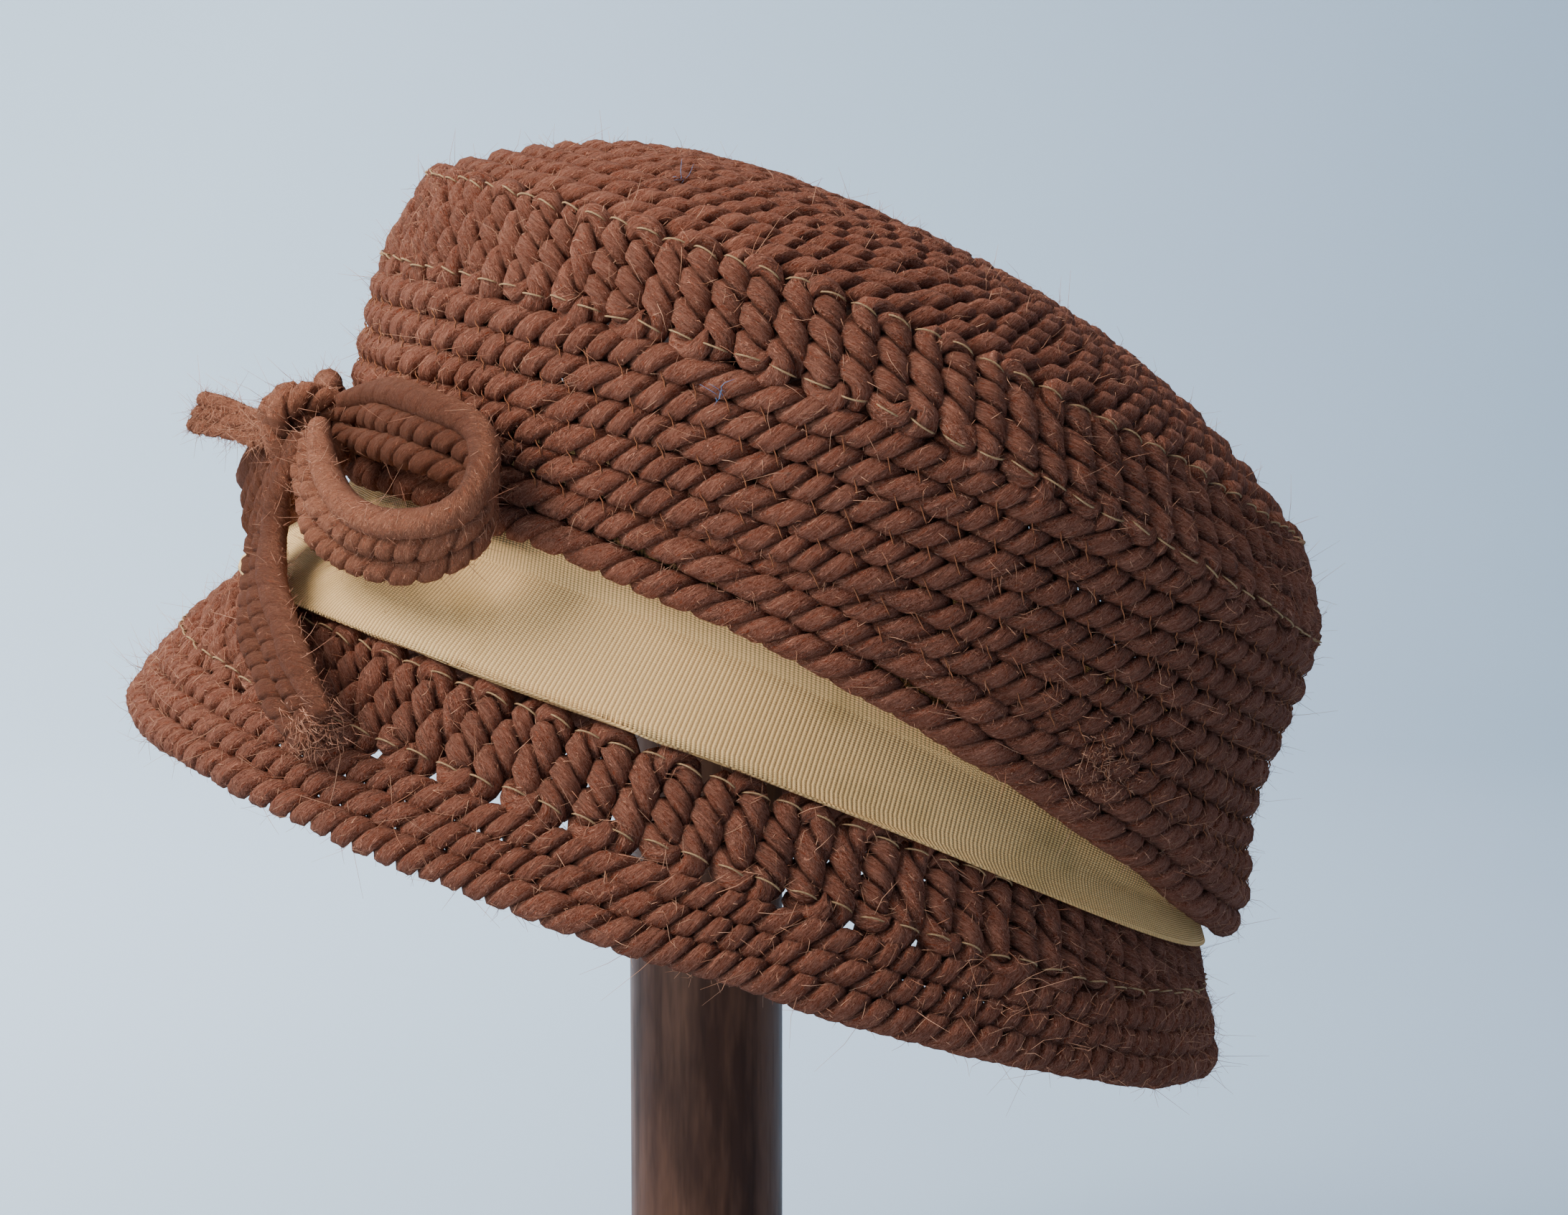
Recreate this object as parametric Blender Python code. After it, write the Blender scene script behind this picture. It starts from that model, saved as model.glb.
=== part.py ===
"""A cloche hat sewn from thick twisted wool cord, with a grosgrain ribbon band and a bow of the same cord, on a
plain post stand. Metres, +Z up. The stand's foot rests on the floor with its bottom centre at the origin, the
hat's front faces -Y, and the hat leans back on the stand.
"""

import math
from collections import namedtuple

import bmesh
import bpy
from mathutils import Matrix, Vector

# Fits between pieces
GAP = 0.0003
RIBBON_EASE = 0.0005
HEAD_EASE = 0.0015

# Crown, measured outside
CROWN_HALF_LENGTH = 0.1040
CROWN_HALF_WIDTH = 0.0940
CROWN_WALL_HEIGHT = 0.0688
TIP_RISE = 0.0204
TIP_SHIFT = 0.0110
CORD = 0.0056
CROWN_ROWS = 8
TIP_ROWS = 12
ROW_GROOVE = 0.0012

# Ladder braids, the zigzag cord between the crown's wall and tip and round the brim's top
BRAID_HEIGHT = 0.0245
BRAID_PAIRS = 48
BRAID_GROOVE = 0.0014
BRAID_NOTCH = 0.0024

# Brim
BRIM_HEIGHT = 0.0370
BRIM_SPREAD = 0.0198
BRIM_ROWS = 3
BRIM_ROWS_SHARE = 0.415
BRIM_BACK_TUCK = 0.0050
BRIM_BULGE_FRONT = 0.0024
BRIM_BULGE = 0.0008

# Ribbon band
RIBBON_WIDTH = 0.0380
RIBBON_THICKNESS = 0.0011
RIBBON_TUCK = 0.0030

# Bow of three cords side by side
STRAP_WIDTH = 0.0170
STRAP_THICKNESS = 0.0056
STRAP_GROOVE = 0.0009
BOW_ANGLE = math.radians(16.0)
BOW_ABOVE_EDGE = 0.0101
BOW_STAND_OFF = 0.0112
KNOT_HALF_SIDE = 0.0065
KNOT_HALF_OUT = 0.0085
KNOT_HALF_UP = 0.0072
LOOP_REACH = 0.0620
FAR_LOOP_SAG = math.radians(14.1)
TAIL_REACH = 0.0580

# Stand
HAT_TILT = math.radians(20.7)
RIM_CLEARANCE = 0.1000
POST_DIAMETER = 0.0320
POST_TO_HAT_CENTRE = 0.0049
FOOT_DIAMETER = 0.1500
FOOT_THICKNESS = 0.0160
FOOT_EDGE = 0.0020
HEAD_RADIUS = 0.0400
HEAD_THICKNESS = 0.0100
HEAD_NECK_DEPTH = 0.0240

# How finely the shells are faceted
SHELL_STEPS = 48
TIP_STEPS = 32
STAND_STEPS = 24

Ring = namedtuple("Ring", "front back side z_front z_side z_back")
CrownRow = namedtuple("CrownRow", "front back side up_front up_side up_back")

# The crown's wall from its lower edge up: how far out it stands at the front, back and sides, as shares of the
# half length and half width, and how high it is above its lower edge, as shares of the wall's height.
CROWN_TABLE = (
    CrownRow(0.926, 1.080, 0.968, 0.000, 0.000, 0.000),
    CrownRow(0.938, 1.083, 0.971, 0.150, 0.172, 0.150),
    CrownRow(0.953, 1.036, 0.981, 0.300, 0.345, 0.360),
    CrownRow(0.968, 1.031, 0.991, 0.450, 0.517, 0.630),
    CrownRow(0.979, 1.029, 1.000, 0.600, 0.690, 0.910),
    CrownRow(0.976, 1.017, 0.996, 0.680, 0.762, 0.985),
    CrownRow(0.950, 0.925, 0.915, 0.915, 0.965, 1.200),
    CrownRow(0.910, 0.882, 0.872, 0.968, 1.000, 1.245),
)
CROWN_INNER = (1.0, 0.75, 0.5, 0.25, 0.0)
BRIM_INNER = (1.0, 0.5, 0.0)
CROWN_BRAID_FROM = 4.0
CROWN_TOP_LEVEL = 7.0

# Height of the crown's lower edge above the rim, as shares of the brim's height: it slants up to the front.
EDGE_FRONT = 1.416
EDGE_SIDE = 1.497
EDGE_BACK = 0.689

# The brim's top: how far it stands out from the crown's lower edge at the front and sides, as shares of the
# spread, and its height, as shares of the brim's height.
BRIM_TOP_OUT_FRONT = 0.338
BRIM_TOP_OUT_SIDE = -0.050
BRIM_TOP_FRONT = 0.838
BRIM_TOP_SIDE = 1.000
BRIM_TOP_BACK = 0.851

# The rim: spread as shares of BRIM_SPREAD beyond the brim's top, and height as shares of the brim's height.
RIM_OUT_FRONT = 0.884
RIM_OUT_SIDE = 1.000
RIM_OUT_BACK = 0.930
RIM_FRONT = -0.162
RIM_SIDE = 0.041
RIM_BACK = 0.054

# How far the ribbon's lower edge lies below the brim's top, as shares of RIBBON_TUCK.
RIBBON_DROP_FRONT = 1.30
RIBBON_DROP_SIDE = 0.60
RIBBON_DROP_BACK = 2.50

StrapRow = namedtuple("StrapRow", "side out up lean width")

# A bow loop's centreline from the knot, along the crown, round its end and back lower down. Side, out and up are
# shares of LOOP_REACH from the knot's centre, lean is the strap's tilt in degrees and width a share of its width.
LOOP_TABLE = (
    StrapRow(0.138, -0.084, 0.048, 0, 0.55),
    StrapRow(0.253, -0.134, 0.076, 0, 0.85),
    StrapRow(0.439, -0.160, 0.106, 0, 1.00),
    StrapRow(0.663, -0.232, 0.132, 5, 1.00),
    StrapRow(0.815, -0.316, 0.127, 18, 1.00),
    StrapRow(0.927, -0.352, 0.081, 32, 1.00),
    StrapRow(0.992, -0.352, 0.000, 42, 1.00),
    StrapRow(1.000, -0.319, -0.080, 45, 1.00),
    StrapRow(0.960, -0.260, -0.150, 45, 1.00),
    StrapRow(0.860, -0.186, -0.208, 42, 1.00),
    StrapRow(0.735, -0.121, -0.230, 36, 1.00),
    StrapRow(0.595, -0.073, -0.222, 28, 1.00),
    StrapRow(0.435, -0.035, -0.182, 20, 0.95),
    StrapRow(0.290, -0.005, -0.128, 10, 0.75),
    StrapRow(0.138, 0.022, -0.075, 0, 0.50),
)

# The front tail, from under the knot down to the brim, as shares of TAIL_REACH.
FRONT_TAIL_TABLE = (
    StrapRow(0.030, 0.031, -0.136, 0, 0.55),
    StrapRow(0.036, 0.024, -0.250, 0, 0.70),
    StrapRow(0.092, 0.006, -0.360, 0, 0.92),
    StrapRow(0.215, 0.004, -0.485, 0, 1.00),
    StrapRow(0.450, 0.008, -0.600, 0, 1.00),
    StrapRow(0.704, -0.024, -0.700, 0, 1.00),
    StrapRow(0.940, -0.088, -0.782, 0, 1.05),
    StrapRow(1.135, -0.148, -0.840, 0, 1.15),
)

# The side tail, pointing away on the other side, as shares of TAIL_REACH.
SIDE_TAIL_TABLE = (
    StrapRow(-0.141, 0.092, -0.020, -50, 0.60),
    StrapRow(-0.320, 0.100, -0.080, -65, 0.82),
    StrapRow(-0.500, 0.070, -0.125, -75, 0.95),
    StrapRow(-0.680, 0.050, -0.155, -75, 0.95),
    StrapRow(-0.840, 0.030, -0.185, -75, 1.00),
)

# The strap's section, as shares of its width and thickness, with grooves between the cords on both faces.
SECTION = (
    (-0.50, 0.00, 0),
    (-0.34, 0.50, 0),
    (-0.17, 0.50, -1),
    (0.00, 0.50, 0),
    (0.17, 0.50, -1),
    (0.34, 0.50, 0),
    (0.50, 0.00, 0),
    (0.34, -0.50, 0),
    (0.17, -0.50, 1),
    (0.00, -0.50, 0),
    (-0.17, -0.50, 1),
    (-0.34, -0.50, 0),
)


def clear_scene():
    for item in list(bpy.data.objects):
        bpy.data.objects.remove(item)


def finish_material(name, color, roughness, metallic=0.0):
    material = bpy.data.materials.new(name)
    material.use_nodes = True
    shader = material.node_tree.nodes["Principled BSDF"]
    shader.inputs["Base Color"].default_value = (*color, 1.0)
    shader.inputs["Roughness"].default_value = roughness
    shader.inputs["Metallic"].default_value = metallic
    return material


def even_wave(front, side, back, angle):
    """A value round the hat that is front at 0, side at a quarter turn and back at a half turn."""
    mean = (front + back) / 2
    return (mean + side) / 2 + (front - back) / 2 * math.cos(angle) + (mean - side) / 2 * math.cos(2 * angle)


def ring_point(ring, angle):
    """A point of a ring of the hat. Angle 0 is the front, -Y, and a quarter turn is the +X side."""
    centre = (ring.back - ring.front) / 2
    length = (ring.back + ring.front) / 2
    height = even_wave(ring.z_front, ring.z_side, ring.z_back, angle)
    return Vector((ring.side * math.sin(angle), centre - length * math.cos(angle), height))


def edge_heights():
    return [BRIM_HEIGHT * share for share in (EDGE_FRONT, EDGE_SIDE, EDGE_BACK)]


def crown_rings():
    """The rings of the crown's outer face, one for each row of CROWN_TABLE."""
    front, side, back = edge_heights()
    rings = []
    for row in CROWN_TABLE:
        rings.append(
            Ring(
                row.front * CROWN_HALF_LENGTH,
                row.back * CROWN_HALF_LENGTH,
                row.side * CROWN_HALF_WIDTH,
                front + row.up_front * CROWN_WALL_HEIGHT,
                side + row.up_side * CROWN_WALL_HEIGHT,
                back + row.up_back * CROWN_WALL_HEIGHT,
            )
        )
    return rings


def brim_rings():
    """The brim's top ring and its rim."""
    edge = crown_rings()[0]
    tuck = CORD + RIBBON_THICKNESS + BRIM_BACK_TUCK
    top = Ring(
        edge.front + BRIM_TOP_OUT_FRONT * BRIM_SPREAD,
        edge.back - tuck,
        edge.side + BRIM_TOP_OUT_SIDE * BRIM_SPREAD,
        BRIM_TOP_FRONT * BRIM_HEIGHT,
        BRIM_TOP_SIDE * BRIM_HEIGHT,
        BRIM_TOP_BACK * BRIM_HEIGHT,
    )
    rim = Ring(
        top.front + RIM_OUT_FRONT * BRIM_SPREAD,
        top.back + RIM_OUT_BACK * BRIM_SPREAD,
        top.side + RIM_OUT_SIDE * BRIM_SPREAD,
        RIM_FRONT * BRIM_HEIGHT,
        RIM_SIDE * BRIM_HEIGHT,
        RIM_BACK * BRIM_HEIGHT,
    )
    return top, rim


def mix(a, b, share):
    return Ring(*(p + (q - p) * share for p, q in zip(a, b)))


def smooth_ring(rings, level):
    """The ring at a level along a list of rings, on a smooth curve through them."""
    last = len(rings) - 1
    index = min(int(level), last - 1)
    share = level - index
    before = rings[max(index - 1, 0)]
    start = rings[index]
    end = rings[index + 1]
    after = rings[min(index + 2, last)]
    values = []
    for p0, p1, p2, p3 in zip(before, start, end, after):
        slope_in = (p2 - p0) / 2
        slope_out = (p3 - p1) / 2
        cube = (2 * p1 - 2 * p2 + slope_in + slope_out) * share**3
        square = (3 * p2 - 3 * p1 - 2 * slope_in - slope_out) * share**2
        values.append(cube + square + slope_in * share + p1)
    return Ring(*values)


def crown_ring(level):
    return smooth_ring(crown_rings(), level)


def brim_ring(share):
    """The brim's outer face, from its top at 0 to the rim at 1, bulging between them."""
    top, rim = brim_rings()
    ring = mix(top, rim, share)
    swell = math.sin(math.pi * min(max(share, 0.0), 1.0))
    front = ring.front + BRIM_BULGE_FRONT * swell
    return ring._replace(front=front, back=ring.back + BRIM_BULGE * swell, side=ring.side + BRIM_BULGE * swell)


def outward(ring_at, level, step, angle):
    """The wall's outward normal at a level and angle, in the upright plane through the hat's middle."""
    low = ring_point(ring_at(level - step), angle)
    high = ring_point(ring_at(level + step), angle)
    along = (high - low).normalized()
    radial = Vector((math.sin(angle), -math.cos(angle), 0.0))
    normal = radial - along * radial.dot(along)
    return normal.normalized()


def wall_point(ring_at, level, step, angle, depth):
    """A point of a wall, depth below its outer face."""
    return ring_point(ring_at(level), angle) - outward(ring_at, level, step, angle) * depth


def shell_mesh(name, sections):
    """A closed band whose sections follow one another round the hat. Each section is a closed loop of points."""
    bm = bmesh.new()
    loops = [[bm.verts.new(point) for point in section] for section in sections]
    count = len(sections[0])
    for index, loop in enumerate(loops):
        following = loops[(index + 1) % len(loops)]
        for side in range(count):
            beyond = (side + 1) % count
            bm.faces.new((loop[side], following[side], following[beyond], loop[beyond]))
    bmesh.ops.recalc_face_normals(bm, faces=bm.faces)
    mesh = bpy.data.meshes.new(name)
    bm.to_mesh(mesh)
    bm.free()
    return mesh


def capped_mesh(name, sections, start_point=None, end_point=None):
    """A closed tube through its sections. Each end is closed by a fan to a point, or by one flat face."""
    bm = bmesh.new()
    loops = [[bm.verts.new(point) for point in section] for section in sections]
    count = len(sections[0])
    for loop, following in zip(loops, loops[1:]):
        for side in range(count):
            beyond = (side + 1) % count
            bm.faces.new((loop[side], following[side], following[beyond], loop[beyond]))
    for loop, point in ((loops[0], start_point), (loops[-1], end_point)):
        if point is None:
            bm.faces.new(loop)
            continue
        tip = bm.verts.new(point)
        for side in range(count):
            bm.faces.new((loop[side], loop[(side + 1) % count], tip))
    bmesh.ops.recalc_face_normals(bm, faces=bm.faces)
    mesh = bpy.data.meshes.new(name)
    bm.to_mesh(mesh)
    bm.free()
    return mesh


def add_piece(mesh, material, parent, sharp_degrees=50.0):
    piece = bpy.data.objects.new(mesh.name, mesh)
    bpy.context.scene.collection.objects.link(piece)
    mesh.materials.append(material)
    mesh.shade_smooth()
    mesh.set_sharp_from_angle(angle=math.radians(sharp_degrees))
    piece.parent = parent
    return piece


def turn(steps):
    return [2 * math.pi * step / steps for step in range(steps)]


def row_wall(name, ring_at, start, stop, rows, steps, inner_shares):
    """A wall of cord rows: a scalloped outer face with a groove between rows, and a plain inner face through the
    given shares of the way up."""
    fine = abs(stop - start) / (rows * 8)
    sections = []
    for angle in turn(steps):
        section = []
        for half_row in range(2 * rows + 1):
            level = start + (stop - start) * half_row / (2 * rows)
            depth = ROW_GROOVE if half_row % 2 == 0 else 0.0
            section.append(wall_point(ring_at, level, fine, angle, depth))
        for share in inner_shares:
            level = start + (stop - start) * share
            section.append(wall_point(ring_at, level, fine, angle, CORD))
        sections.append(section)
    return shell_mesh(name, sections)


def braid_wall(name, ring_at, low, high, height, middles):
    """A ladder braid: upright cords paired by arches at the top and by turns at the bottom, with a notch wherever
    two turns part."""
    per_metre = (high - low) / height
    fine = abs(high - low) / 12
    steps = BRAID_PAIRS * 4
    sections = []
    for step, angle in enumerate(turn(steps)):
        place = step % 4
        groove = BRAID_GROOVE if place % 2 else 0.0
        raised = BRAID_NOTCH if place == 3 else 0.0
        lowered = BRAID_NOTCH if place == 1 else 0.0
        bottom = low + raised * per_metre
        top = high - lowered * per_metre
        section = [wall_point(ring_at, bottom, fine, angle, groove + CORD * 0.12)]
        for share in middles:
            section.append(wall_point(ring_at, low + (high - low) * share, fine, angle, groove))
        section.append(wall_point(ring_at, top, fine, angle, groove + CORD * 0.12))
        section.append(wall_point(ring_at, top, fine, angle, CORD))
        section.append(wall_point(ring_at, bottom, fine, angle, CORD))
        sections.append(section)
    return shell_mesh(name, sections)


def level_gap(ring_at, level, distance):
    """How far along the levels a distance on the wall's side is."""
    step = 0.02
    low = ring_point(ring_at(level - step), math.pi / 2)
    high = ring_point(ring_at(level + step), math.pi / 2)
    return distance * 2 * step / (high - low).length


def crown_side(wool, hat):
    stop = CROWN_BRAID_FROM - level_gap(crown_ring, CROWN_BRAID_FROM, GAP)
    mesh = row_wall("crown_side", crown_ring, 0.0, stop, CROWN_ROWS, SHELL_STEPS, CROWN_INNER)
    return add_piece(mesh, wool, hat)


def crown_braid(wool, hat):
    low = CROWN_BRAID_FROM + level_gap(crown_ring, CROWN_BRAID_FROM, GAP)
    high = CROWN_TOP_LEVEL - level_gap(crown_ring, CROWN_TOP_LEVEL - 0.1, GAP)
    mesh = braid_wall("crown_braid", crown_ring, low, high, BRAID_HEIGHT, (0.40, 0.78))
    return add_piece(mesh, wool, hat)


def tip_point(share, angle, depth):
    """A point of the crown's tip: share 0 is its middle and 1 its edge."""
    edge = crown_ring(CROWN_TOP_LEVEL)
    rim = ring_point(edge, angle)
    centre = (edge.back - edge.front) / 2 - TIP_SHIFT
    mean = (edge.z_front + edge.z_back) / 4 + edge.z_side / 2
    swing = (edge.z_front - edge.z_back) / 2 * math.cos(angle)
    warp = rim.z - mean - swing
    height = mean + swing * share + warp * share**2 + TIP_RISE * (1 - share**2.8)
    wall = outward(crown_ring, CROWN_TOP_LEVEL - 0.05, 0.05, angle)
    inward = (Vector((0.0, 0.0, 1.0)) * (1 - share**6) + wall * share**6).normalized()
    return Vector((rim.x * share, centre + (rim.y - centre) * share, height)) - inward * depth


def crown_tip(wool, hat):
    edge_share = 1 - GAP / (CROWN_HALF_WIDTH * 0.87)
    outer = []
    for half_row in range(2 * TIP_ROWS):
        share = edge_share * (1 - half_row / (2 * TIP_ROWS))
        depth = ROW_GROOVE if half_row % 2 == 0 else 0.0
        outer.append([tip_point(share, angle, depth) for angle in turn(TIP_STEPS)])
    inner = []
    for share in (0.2, 0.4, 0.58, 0.75, 0.9, edge_share):
        inner.append([tip_point(share, angle, CORD) for angle in turn(TIP_STEPS)])
    sections = [*inner, *outer]
    mesh = capped_mesh("crown_tip", sections, tip_point(0.0, 0.0, CORD), tip_point(0.0, 0.0, 0.0))
    return add_piece(mesh, wool, hat)


def brim_braid(wool, hat):
    length = (ring_point(brim_ring(0.0), math.pi / 2) - ring_point(brim_ring(1.0), math.pi / 2)).length
    low = 1 - BRIM_ROWS_SHARE - GAP / length
    mesh = braid_wall("brim_braid", brim_ring, low, 0.0, BRAID_HEIGHT, (0.5,))
    return add_piece(mesh, wool, hat)


def brim_edge(wool, hat):
    length = (ring_point(brim_ring(0.0), math.pi / 2) - ring_point(brim_ring(1.0), math.pi / 2)).length
    start = 1 - BRIM_ROWS_SHARE + GAP / length
    mesh = row_wall("brim_edge", brim_ring, 1.0, start, BRIM_ROWS, SHELL_STEPS, BRIM_INNER)
    return add_piece(mesh, wool, hat)


def reach_at_height(ring_at, step, depth, angle, height, low, high):
    """How far the point of a wall at this height stands out from the hat's middle plane of rings, with its depth
    below the outer face. The level is found by halving between low and high."""
    for _ in range(30):
        middle = (low + high) / 2
        if wall_point(ring_at, middle, step, angle, depth).z < height:
            low = middle
        else:
            high = middle
    return wall_point(ring_at, (low + high) / 2, step, angle, depth)


def pushed_out(point, angle, distance):
    return point + Vector((math.sin(angle), -math.cos(angle), 0.0)) * distance


def inside_crown(angle, height):
    """The point at a height just inside the crown's wall, or below the inner edge of the wall's foot."""
    point = reach_at_height(crown_ring, 0.05, CORD + RIBBON_EASE * 2, angle, height, 0.0, 3.9)
    return Vector((point.x, point.y, height))


def ribbon_section(angle):
    """The ribbon's outer line from its lower edge, over the brim's top, up inside the crown's wall."""
    top = ring_point(brim_ring(0.0), angle)
    edge = ring_point(crown_ring(0.0), angle)
    drop = RIBBON_TUCK * even_wave(RIBBON_DROP_FRONT, RIBBON_DROP_SIDE, RIBBON_DROP_BACK, angle)
    ease = RIBBON_EASE + RIBBON_THICKNESS
    low = reach_at_height(brim_ring, 0.02, 0.0, angle, top.z - drop, 1.0, 0.0)
    tucked = max(edge.z - GAP * 3, top.z + RIBBON_TUCK)
    upper = low.z + RIBBON_WIDTH * 0.97
    points = [pushed_out(low, angle, ease), pushed_out(top, angle, ease)]
    for share in (0.0, 0.5, 1.0):
        points.append(inside_crown(angle, tucked + (upper - tucked) * share))
    return points


def hat_band(ribbon, hat):
    sections = []
    for angle in turn(SHELL_STEPS):
        outer = ribbon_section(angle)
        inner = [pushed_out(point, angle, -RIBBON_THICKNESS) for point in reversed(outer)]
        sections.append(outer + inner)
    return add_piece(shell_mesh("hat_band", sections), ribbon, hat)


def bow_frame():
    """The knot's centre and the directions along the crown, out of it and up it."""
    height = edge_heights()[0] + BOW_ABOVE_EDGE
    surface = reach_at_height(crown_ring, 0.05, 0.0, BOW_ANGLE, height, 0.0, 3.9)
    ring = crown_ring(1.0)
    length = (ring.front + ring.back) / 2
    side = Vector((ring.side * math.cos(BOW_ANGLE), length * math.sin(BOW_ANGLE), 0.0)).normalized()
    up = Vector((0.0, 0.0, 1.0))
    out = side.cross(up)
    return surface + out * BOW_STAND_OFF, side, out, up


def strap_mesh(name, table, reach, mirror=1.0, sag=0.0, lies=False):
    """A strap of three cords swept along its table. Mirror -1 turns it to the knot's other side and sag turns it
    down about the knot. Lies keeps the strap's width along the wall that it hangs on."""
    centre, side, out, up = bow_frame()
    side = side * mirror
    toward = (side * 4 + out * 3).normalized()
    points = []
    for row in table:
        level = row.side * math.cos(sag) + row.up * math.sin(sag)
        height = row.up * math.cos(sag) - row.side * math.sin(sag)
        points.append(centre + (side * level + out * row.out + up * height) * reach)
    sections = []
    for index, row in enumerate(table):
        before = points[max(index - 1, 0)]
        after = points[min(index + 1, len(points) - 1)]
        along = (after - before).normalized()
        lean = math.radians(row.lean)
        across = up * math.cos(lean) + toward * math.sin(lean)
        if lies:
            across = out.cross(along)
        across = (across - along * across.dot(along)).normalized()
        face = across.cross(along)
        section = []
        for width, thick, groove in SECTION:
            lift = STRAP_THICKNESS * thick + STRAP_GROOVE * groove
            section.append(points[index] + across * (width * STRAP_WIDTH * row.width) + face * lift)
        sections.append(section)
    return capped_mesh(name, sections)


def knot_mesh():
    """The bow's knot: a strap of three cords wound round, as three lumpy rings side by side."""
    centre, side, out, up = bow_frame()
    steps = 14
    sections = []
    for index in range(7):
        place = index / 3 - 1
        swell = 0.86 if index in (0, 6) else (1.0 if index % 2 else 0.93)
        section = []
        for angle in turn(steps):
            offset = out * (math.cos(angle) * KNOT_HALF_OUT) + up * (math.sin(angle) * KNOT_HALF_UP)
            section.append(centre + side * (place * KNOT_HALF_SIDE) + offset * swell)
        sections.append(section)
    return capped_mesh("bow_knot", sections)


def bow(felted, hat):
    add_piece(knot_mesh(), felted, hat)
    add_piece(strap_mesh("bow_loop_near", LOOP_TABLE, LOOP_REACH), felted, hat)
    add_piece(strap_mesh("bow_loop_far", LOOP_TABLE, LOOP_REACH, mirror=-1.0, sag=FAR_LOOP_SAG), felted, hat)
    add_piece(strap_mesh("bow_tail_front", FRONT_TAIL_TABLE, TAIL_REACH, lies=True), felted, hat)
    add_piece(strap_mesh("bow_tail_side", SIDE_TAIL_TABLE, TAIL_REACH), felted, hat)


def tip_height(x, y, depth):
    """Height of the tip's surface, depth below its outer face, over a point of the hat's base plane."""
    edge = crown_ring(CROWN_TOP_LEVEL)
    middle = (edge.back - edge.front) / 2
    centre = middle - TIP_SHIFT
    length = (edge.back + edge.front) / 2
    low, high = 0.0, 1.0
    for _ in range(30):
        share = (low + high) / 2
        ring_middle = centre + (middle - centre) * share
        reach = (x / (edge.side * share)) ** 2 + ((y - ring_middle) / (length * share)) ** 2
        if reach > 1:
            low = share
        else:
            high = share
    share = (low + high) / 2
    ring_middle = centre + (middle - centre) * share
    angle = math.atan2(x / edge.side, (ring_middle - y) / length)
    return tip_point(share, angle, depth).z


def stand(dark_wood, hat_matrix):
    """A round foot, a post and a domed head that fills the crown's tip from inside."""
    foot_radius = FOOT_DIAMETER / 2
    foot_rings = (
        (foot_radius - FOOT_EDGE, 0.0),
        (foot_radius, FOOT_EDGE),
        (foot_radius, FOOT_THICKNESS - FOOT_EDGE),
        (foot_radius - FOOT_EDGE, FOOT_THICKNESS),
    )
    foot = [[circle_point(radius, angle, height) for angle in turn(STAND_STEPS)] for radius, height in foot_rings]
    add_piece(capped_mesh("stand_foot", foot), dark_wood, None, 30.0)

    to_hat = hat_matrix.inverted()
    top_height = hat_matrix.translation.z + head_middle_height(to_hat)
    post_top = top_height - HEAD_THICKNESS - HEAD_NECK_DEPTH
    post_radius = POST_DIAMETER / 2
    heights = (FOOT_THICKNESS + GAP, post_top - GAP)
    post = [[circle_point(post_radius, angle, height) for angle in turn(STAND_STEPS)] for height in heights]
    add_piece(capped_mesh("stand_post", post), dark_wood, None, 30.0)

    axis = to_hat @ Vector((0.0, 0.0, top_height))
    depth = CORD + HEAD_EASE
    sections = []
    for share in (0.25, 0.5, 0.75, 1.0):
        section = []
        for angle in turn(STAND_STEPS):
            x = axis.x + HEAD_RADIUS * share * math.cos(angle)
            y = axis.y + HEAD_RADIUS * share * math.sin(angle)
            section.append(hat_matrix @ Vector((x, y, tip_height(x, y, depth))))
        sections.append(section)
    lower = [point - Vector((0.0, 0.0, HEAD_THICKNESS)) for point in sections[-1]]
    seat = [circle_point(post_radius + FOOT_EDGE, math.atan2(p.y, p.x), post_top) for p in lower]
    top = hat_matrix @ Vector((axis.x, axis.y, tip_height(axis.x, axis.y, depth)))
    add_piece(capped_mesh("stand_head", [*sections, lower, seat], top, None), dark_wood, None, 30.0)


def circle_point(radius, angle, height):
    return Vector((radius * math.cos(angle), radius * math.sin(angle), height))


def head_middle_height(to_hat):
    """How far above the hat's origin the post's line meets the tip's inside."""
    rotation = to_hat.to_3x3()
    start = to_hat @ Vector((0.0, 0.0, 0.0))
    rise = rotation @ Vector((0.0, 0.0, 1.0))
    origin_height = -(to_hat.inverted().translation.z)
    low, high = 0.0, 1.0
    for _ in range(40):
        distance = (low + high) / 2
        point = start + rise * distance
        if point.z > tip_height(point.x, point.y, CORD + HEAD_EASE):
            high = distance
        else:
            low = distance
    return (low + high) / 2 + origin_height


def hat_placement():
    """The hat's frame in the world: leaning back, its rim clear of the floor, its post hole over the origin."""
    _, rim = brim_rings()
    turned = Matrix.Rotation(-HAT_TILT, 4, "X")
    lowest = min((turned @ ring_point(rim, angle)).z for angle in turn(SHELL_STEPS))
    return Matrix.Translation((0.0, -POST_TO_HAT_CENTRE, RIM_CLEARANCE - lowest)) @ turned


def main():
    clear_scene()
    wool = finish_material("wool_cord", (0.205, 0.077, 0.044), 0.90)
    felted = finish_material("felted_cord", (0.245, 0.092, 0.052), 0.92)
    ribbon = finish_material("grosgrain", (0.730, 0.552, 0.288), 0.62)
    dark_wood = finish_material("dark_wood", (0.040, 0.018, 0.010), 0.38)

    hat = bpy.data.objects.new("hat_place", None)
    bpy.context.scene.collection.objects.link(hat)
    hat.matrix_world = hat_placement()

    crown_tip(wool, hat)
    crown_braid(wool, hat)
    crown_side(wool, hat)
    hat_band(ribbon, hat)
    brim_braid(wool, hat)
    brim_edge(wool, hat)
    bow(felted, hat)
    stand(dark_wood, hat_placement())


main()
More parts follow.
